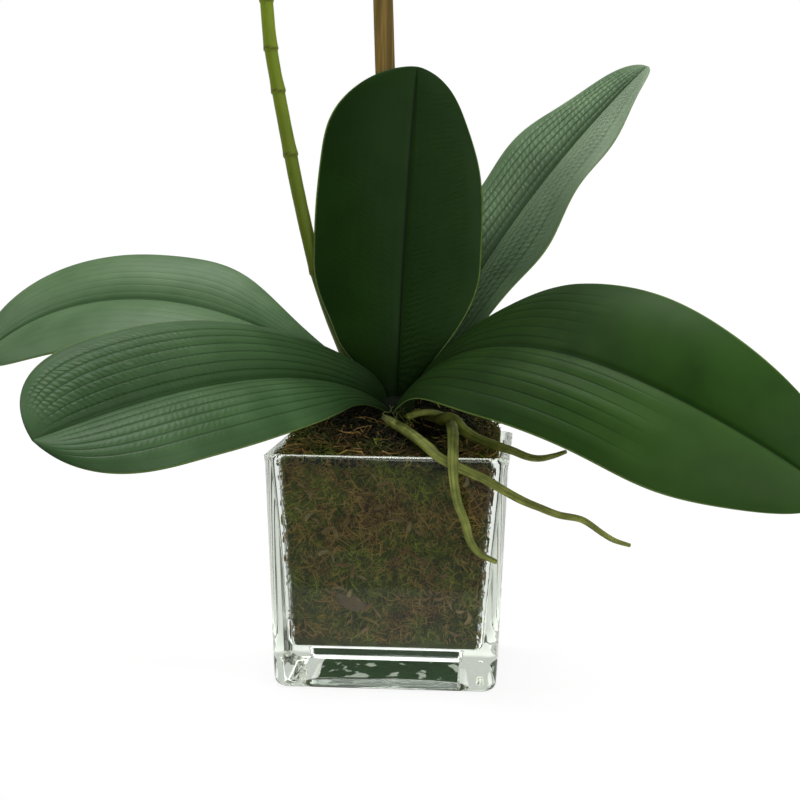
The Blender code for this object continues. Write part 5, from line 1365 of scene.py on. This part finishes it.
def lobe_sheet(start, out, side, curl_axis, length, width, curls, wave):
    """A small lobe of the lip that starts in its core and curls as it goes."""
    t = np.linspace(0.0, 1.0, 21)
    s = np.linspace(-1, 1, 13)
    angle = np.radians(mix(curls, t[:, None] * (np.arange(8) + 0.5) / 8))
    run = np.cos(angle).sum(axis=1) * length * t / 8
    drop = np.sin(angle).sum(axis=1) * length * t / 8
    spine = start + out * run[:, None] + curl_axis * drop[:, None]
    share = np.maximum(0.12, blade_width(dict(widest=0.6, tip=2.4), t, 0.3))
    t2, s2 = np.meshgrid(t, s, indexing="ij")
    lift = 0.0012 * s2 ** 2 - wave * np.sin(t2 * 9.0) * np.abs(s2) ** 3
    points = (spine[:, None, :] + side * (s2 * width / 2 * share[:, None])[..., None]
              - curl_axis * lift[..., None])
    level = np.cross(out, side)
    thick = level / np.linalg.norm(level) * 0.00045
    return closed_sheet("lobe", points + thick, points - thick, across=s2, share_along=t2)


# Petal flesh is matt, white and thin, lets light sink in by 2 mm, and greens towards its heart.
petal_skin, tree, shader = blank_material("white_petal_flesh", {
    "Roughness": 0.55, "Subsurface Weight": 0.25, "Subsurface Scale": 0.002})
across, along = [add(tree, "ShaderNodeAttribute", attribute_name=label).outputs["Fac"]
                 for label in ("across", "share_along")]
fan = add(tree, "ShaderNodeMath", {0: across, 1: 30.0}, operation="MULTIPLY")
fan = add(tree, "ShaderNodeMath", {0: fan}, operation="COSINE")
veining = add(tree, "ShaderNodeMath", {0: fan, 1: 0.5, 2: 0.5}, operation="MULTIPLY_ADD")
narrow = add(tree, "ShaderNodeMath", {0: veining, 1: 6.0}, operation="POWER")
near = add(tree, "ShaderNodeMapRange", {"Value": along, "From Min": 0.0, "From Max": 0.75,
           "To Min": 0.55, "To Max": 0.08})
veined = add(tree, "ShaderNodeMath", {0: narrow, 1: near}, operation="MULTIPLY")
white = add(tree, "ShaderNodeMix", {"Factor": veined, "A": srgb("#f6f4ef"),
            "B": srgb("#dfe0c8")}, data_type="RGBA")
throat = add(tree, "ShaderNodeMapRange", {"Value": along, "From Min": 0.0, "From Max": 0.16,
             "To Min": 0.75, "To Max": 0.0})
heart = add(tree, "ShaderNodeMix", {"Factor": throat, "A": white,
            "B": srgb("#d9dc9a")}, data_type="RGBA")
link(tree, heart, shader, "Base Color")

# Lip flesh is glossier and yellow, with red spots of about 1 mm towards its root.
lip_skin, tree, shader = blank_material("yellow_lip_flesh", {"Roughness": 0.4})
place = add(tree, "ShaderNodeTexCoord").outputs["Object"]
along = add(tree, "ShaderNodeAttribute", attribute_name="share_along").outputs["Fac"]
spot = add(tree, "ShaderNodeTexVoronoi", {"Vector": place, "Scale": 900.0})
spotted = add(tree, "ShaderNodeMapRange", {"Value": spot, "From Min": 0.22,
              "From Max": 0.34, "To Min": 0.9, "To Max": 0.0})
inner = add(tree, "ShaderNodeMapRange", {"Value": along, "From Min": 0.25, "From Max": 0.65,
            "To Min": 1.0, "To Max": 0.0})
marks = add(tree, "ShaderNodeMath", {0: spotted, 1: inner}, operation="MULTIPLY")
outer = add(tree, "ShaderNodeMapRange", {"Value": along, "From Min": 0.35, "From Max": 1.0})
yellow = add(tree, "ShaderNodeMix", {"Factor": outer, "A": srgb("#e8a81c"),
             "B": srgb("#f4ead0")}, data_type="RGBA")
lip_tone = add(tree, "ShaderNodeMix", {"Factor": marks, "A": yellow,
               "B": srgb("#7a1c18")}, data_type="RGBA")
link(tree, lip_tone, shader, "Base Color")

ahead, down, level = np.array((0, -1.0, 0)), np.array((0, 0, -1.0)), np.array((1.0, 0, 0))
for index, (centre, turn, scale, _) in enumerate(bloom_places):
    hub = bmesh.new()
    bmesh.ops.create_icosphere(hub, subdivisions=3, radius=HUB_RADIUS)
    sheets = [petal_sheet(seed=index * 1.9 + number, **shape)
              for number, shape in enumerate(SHEETS)]
    column = rod("column", [(Vector((0, -COLUMN_LENGTH * step / 12, 0)),
                             COLUMN_RADIUS * (0.8 + 0.25 * math.sin(step / 12 * 2.6)))
                            for step in range(12)], 16)
    petals = joined(f"bloom_{index + 1}_petal_flesh",
                    sheets + [plain_mesh("hub", hub), column])
    lobes = [lobe_sheet(LIP_CORE, ahead, level, down, LIP_LENGTH, LIP_WIDTH, LIP_DIVE, 0.0006)]
    spread = math.radians(LOBE_SPREAD)
    for hand in (-1, 1):
        out = np.array((hand * math.cos(spread), -0.55, math.sin(spread) * 0.6))
        out /= np.linalg.norm(out)
        lobes.append(lobe_sheet(LIP_CORE + np.array((hand * 0.001, -0.0016, 0)), out, ahead,
                                -down, LOBE_LENGTH, LOBE_WIDTH, (0.0, 80.0), 0.0003))
    core = rod("lip_core", [(Vector(LIP_CORE) + Vector((0, 0.0015 * step, 0)), 0.0023)
                            for step in (-1, 0, 1)], 16)
    lip = joined(f"bloom_{index + 1}_lip_flesh", lobes + [core])
    where = Matrix.LocRotScale(centre, turn, (scale, scale, scale))
    for mesh, skin, slot, node in ((petals, petal_skin, "petal", f"bloom_{index + 1}_petals"),
                                   (lip, lip_skin, "lip", f"bloom_{index + 1}_lip")):
        mesh.transform(where)
        finished(mesh.name, mesh, skin, slot, node)

# The buds: three closed buds at the spike's end, waxy and pale green, with a flush about 1 cm
# wide, each folded shut with three darker seams that meet at its point.
BUD_RINGS, BUD_SIDES, BUD_WIDTH, BUD_DEPTH = 24, 36, 0.70, 0.61
bud_skin, tree, shader = blank_material("waxy_bud_skin", {"Roughness": 0.45})
place = add(tree, "ShaderNodeTexCoord").outputs["Object"]
flush = add(tree, "ShaderNodeTexNoise", {"Vector": place, "Scale": 90.0, "Detail": 3.0})
seam = add(tree, "ShaderNodeAttribute", attribute_name="seam").outputs["Fac"]
green = add(tree, "ShaderNodeMix", {"Factor": flush, "A": srgb("#a9b56a"),
            "B": srgb("#dfe3b8")}, data_type="RGBA")
sewn = add(tree, "ShaderNodeMix", {"Factor": seam, "A": green,
           "B": srgb("#7c8a3c")}, data_type="RGBA")
link(tree, sewn, shader, "Base Color")
for index, (centre, length, on_spike) in enumerate(bud_places):
    turn = (centre - on_spike).to_track_quat("Z", "Y").to_matrix()
    rings, seams = [], []
    for step in range(BUD_RINGS + 1):
        angle = math.pi * (step + 0.3) / (BUD_RINGS + 0.6)
        taper = 1.0 + 0.12 * math.cos(angle)
        ring = []
        for side in range(BUD_SIDES):
            around = 2 * math.pi * side / BUD_SIDES
            seam = abs(math.cos(around * 1.5)) ** 60
            wide = 0.5 * math.sin(angle) * taper * (1 - 0.05 * seam)
            ring.append(tuple(centre + turn @ Vector((
                wide * length * BUD_WIDTH * math.cos(around),
                wide * length * BUD_DEPTH * math.sin(around), -0.5 * length * math.cos(angle)))))
            seams.append(seam)
        rings.append(ring)
    mesh = loft(f"bud_{index + 1}_shell", rings)
    write_layer(mesh, "seam", seams)
    finished(mesh.name, mesh, bud_skin, "bud", f"bud_{index + 1}")
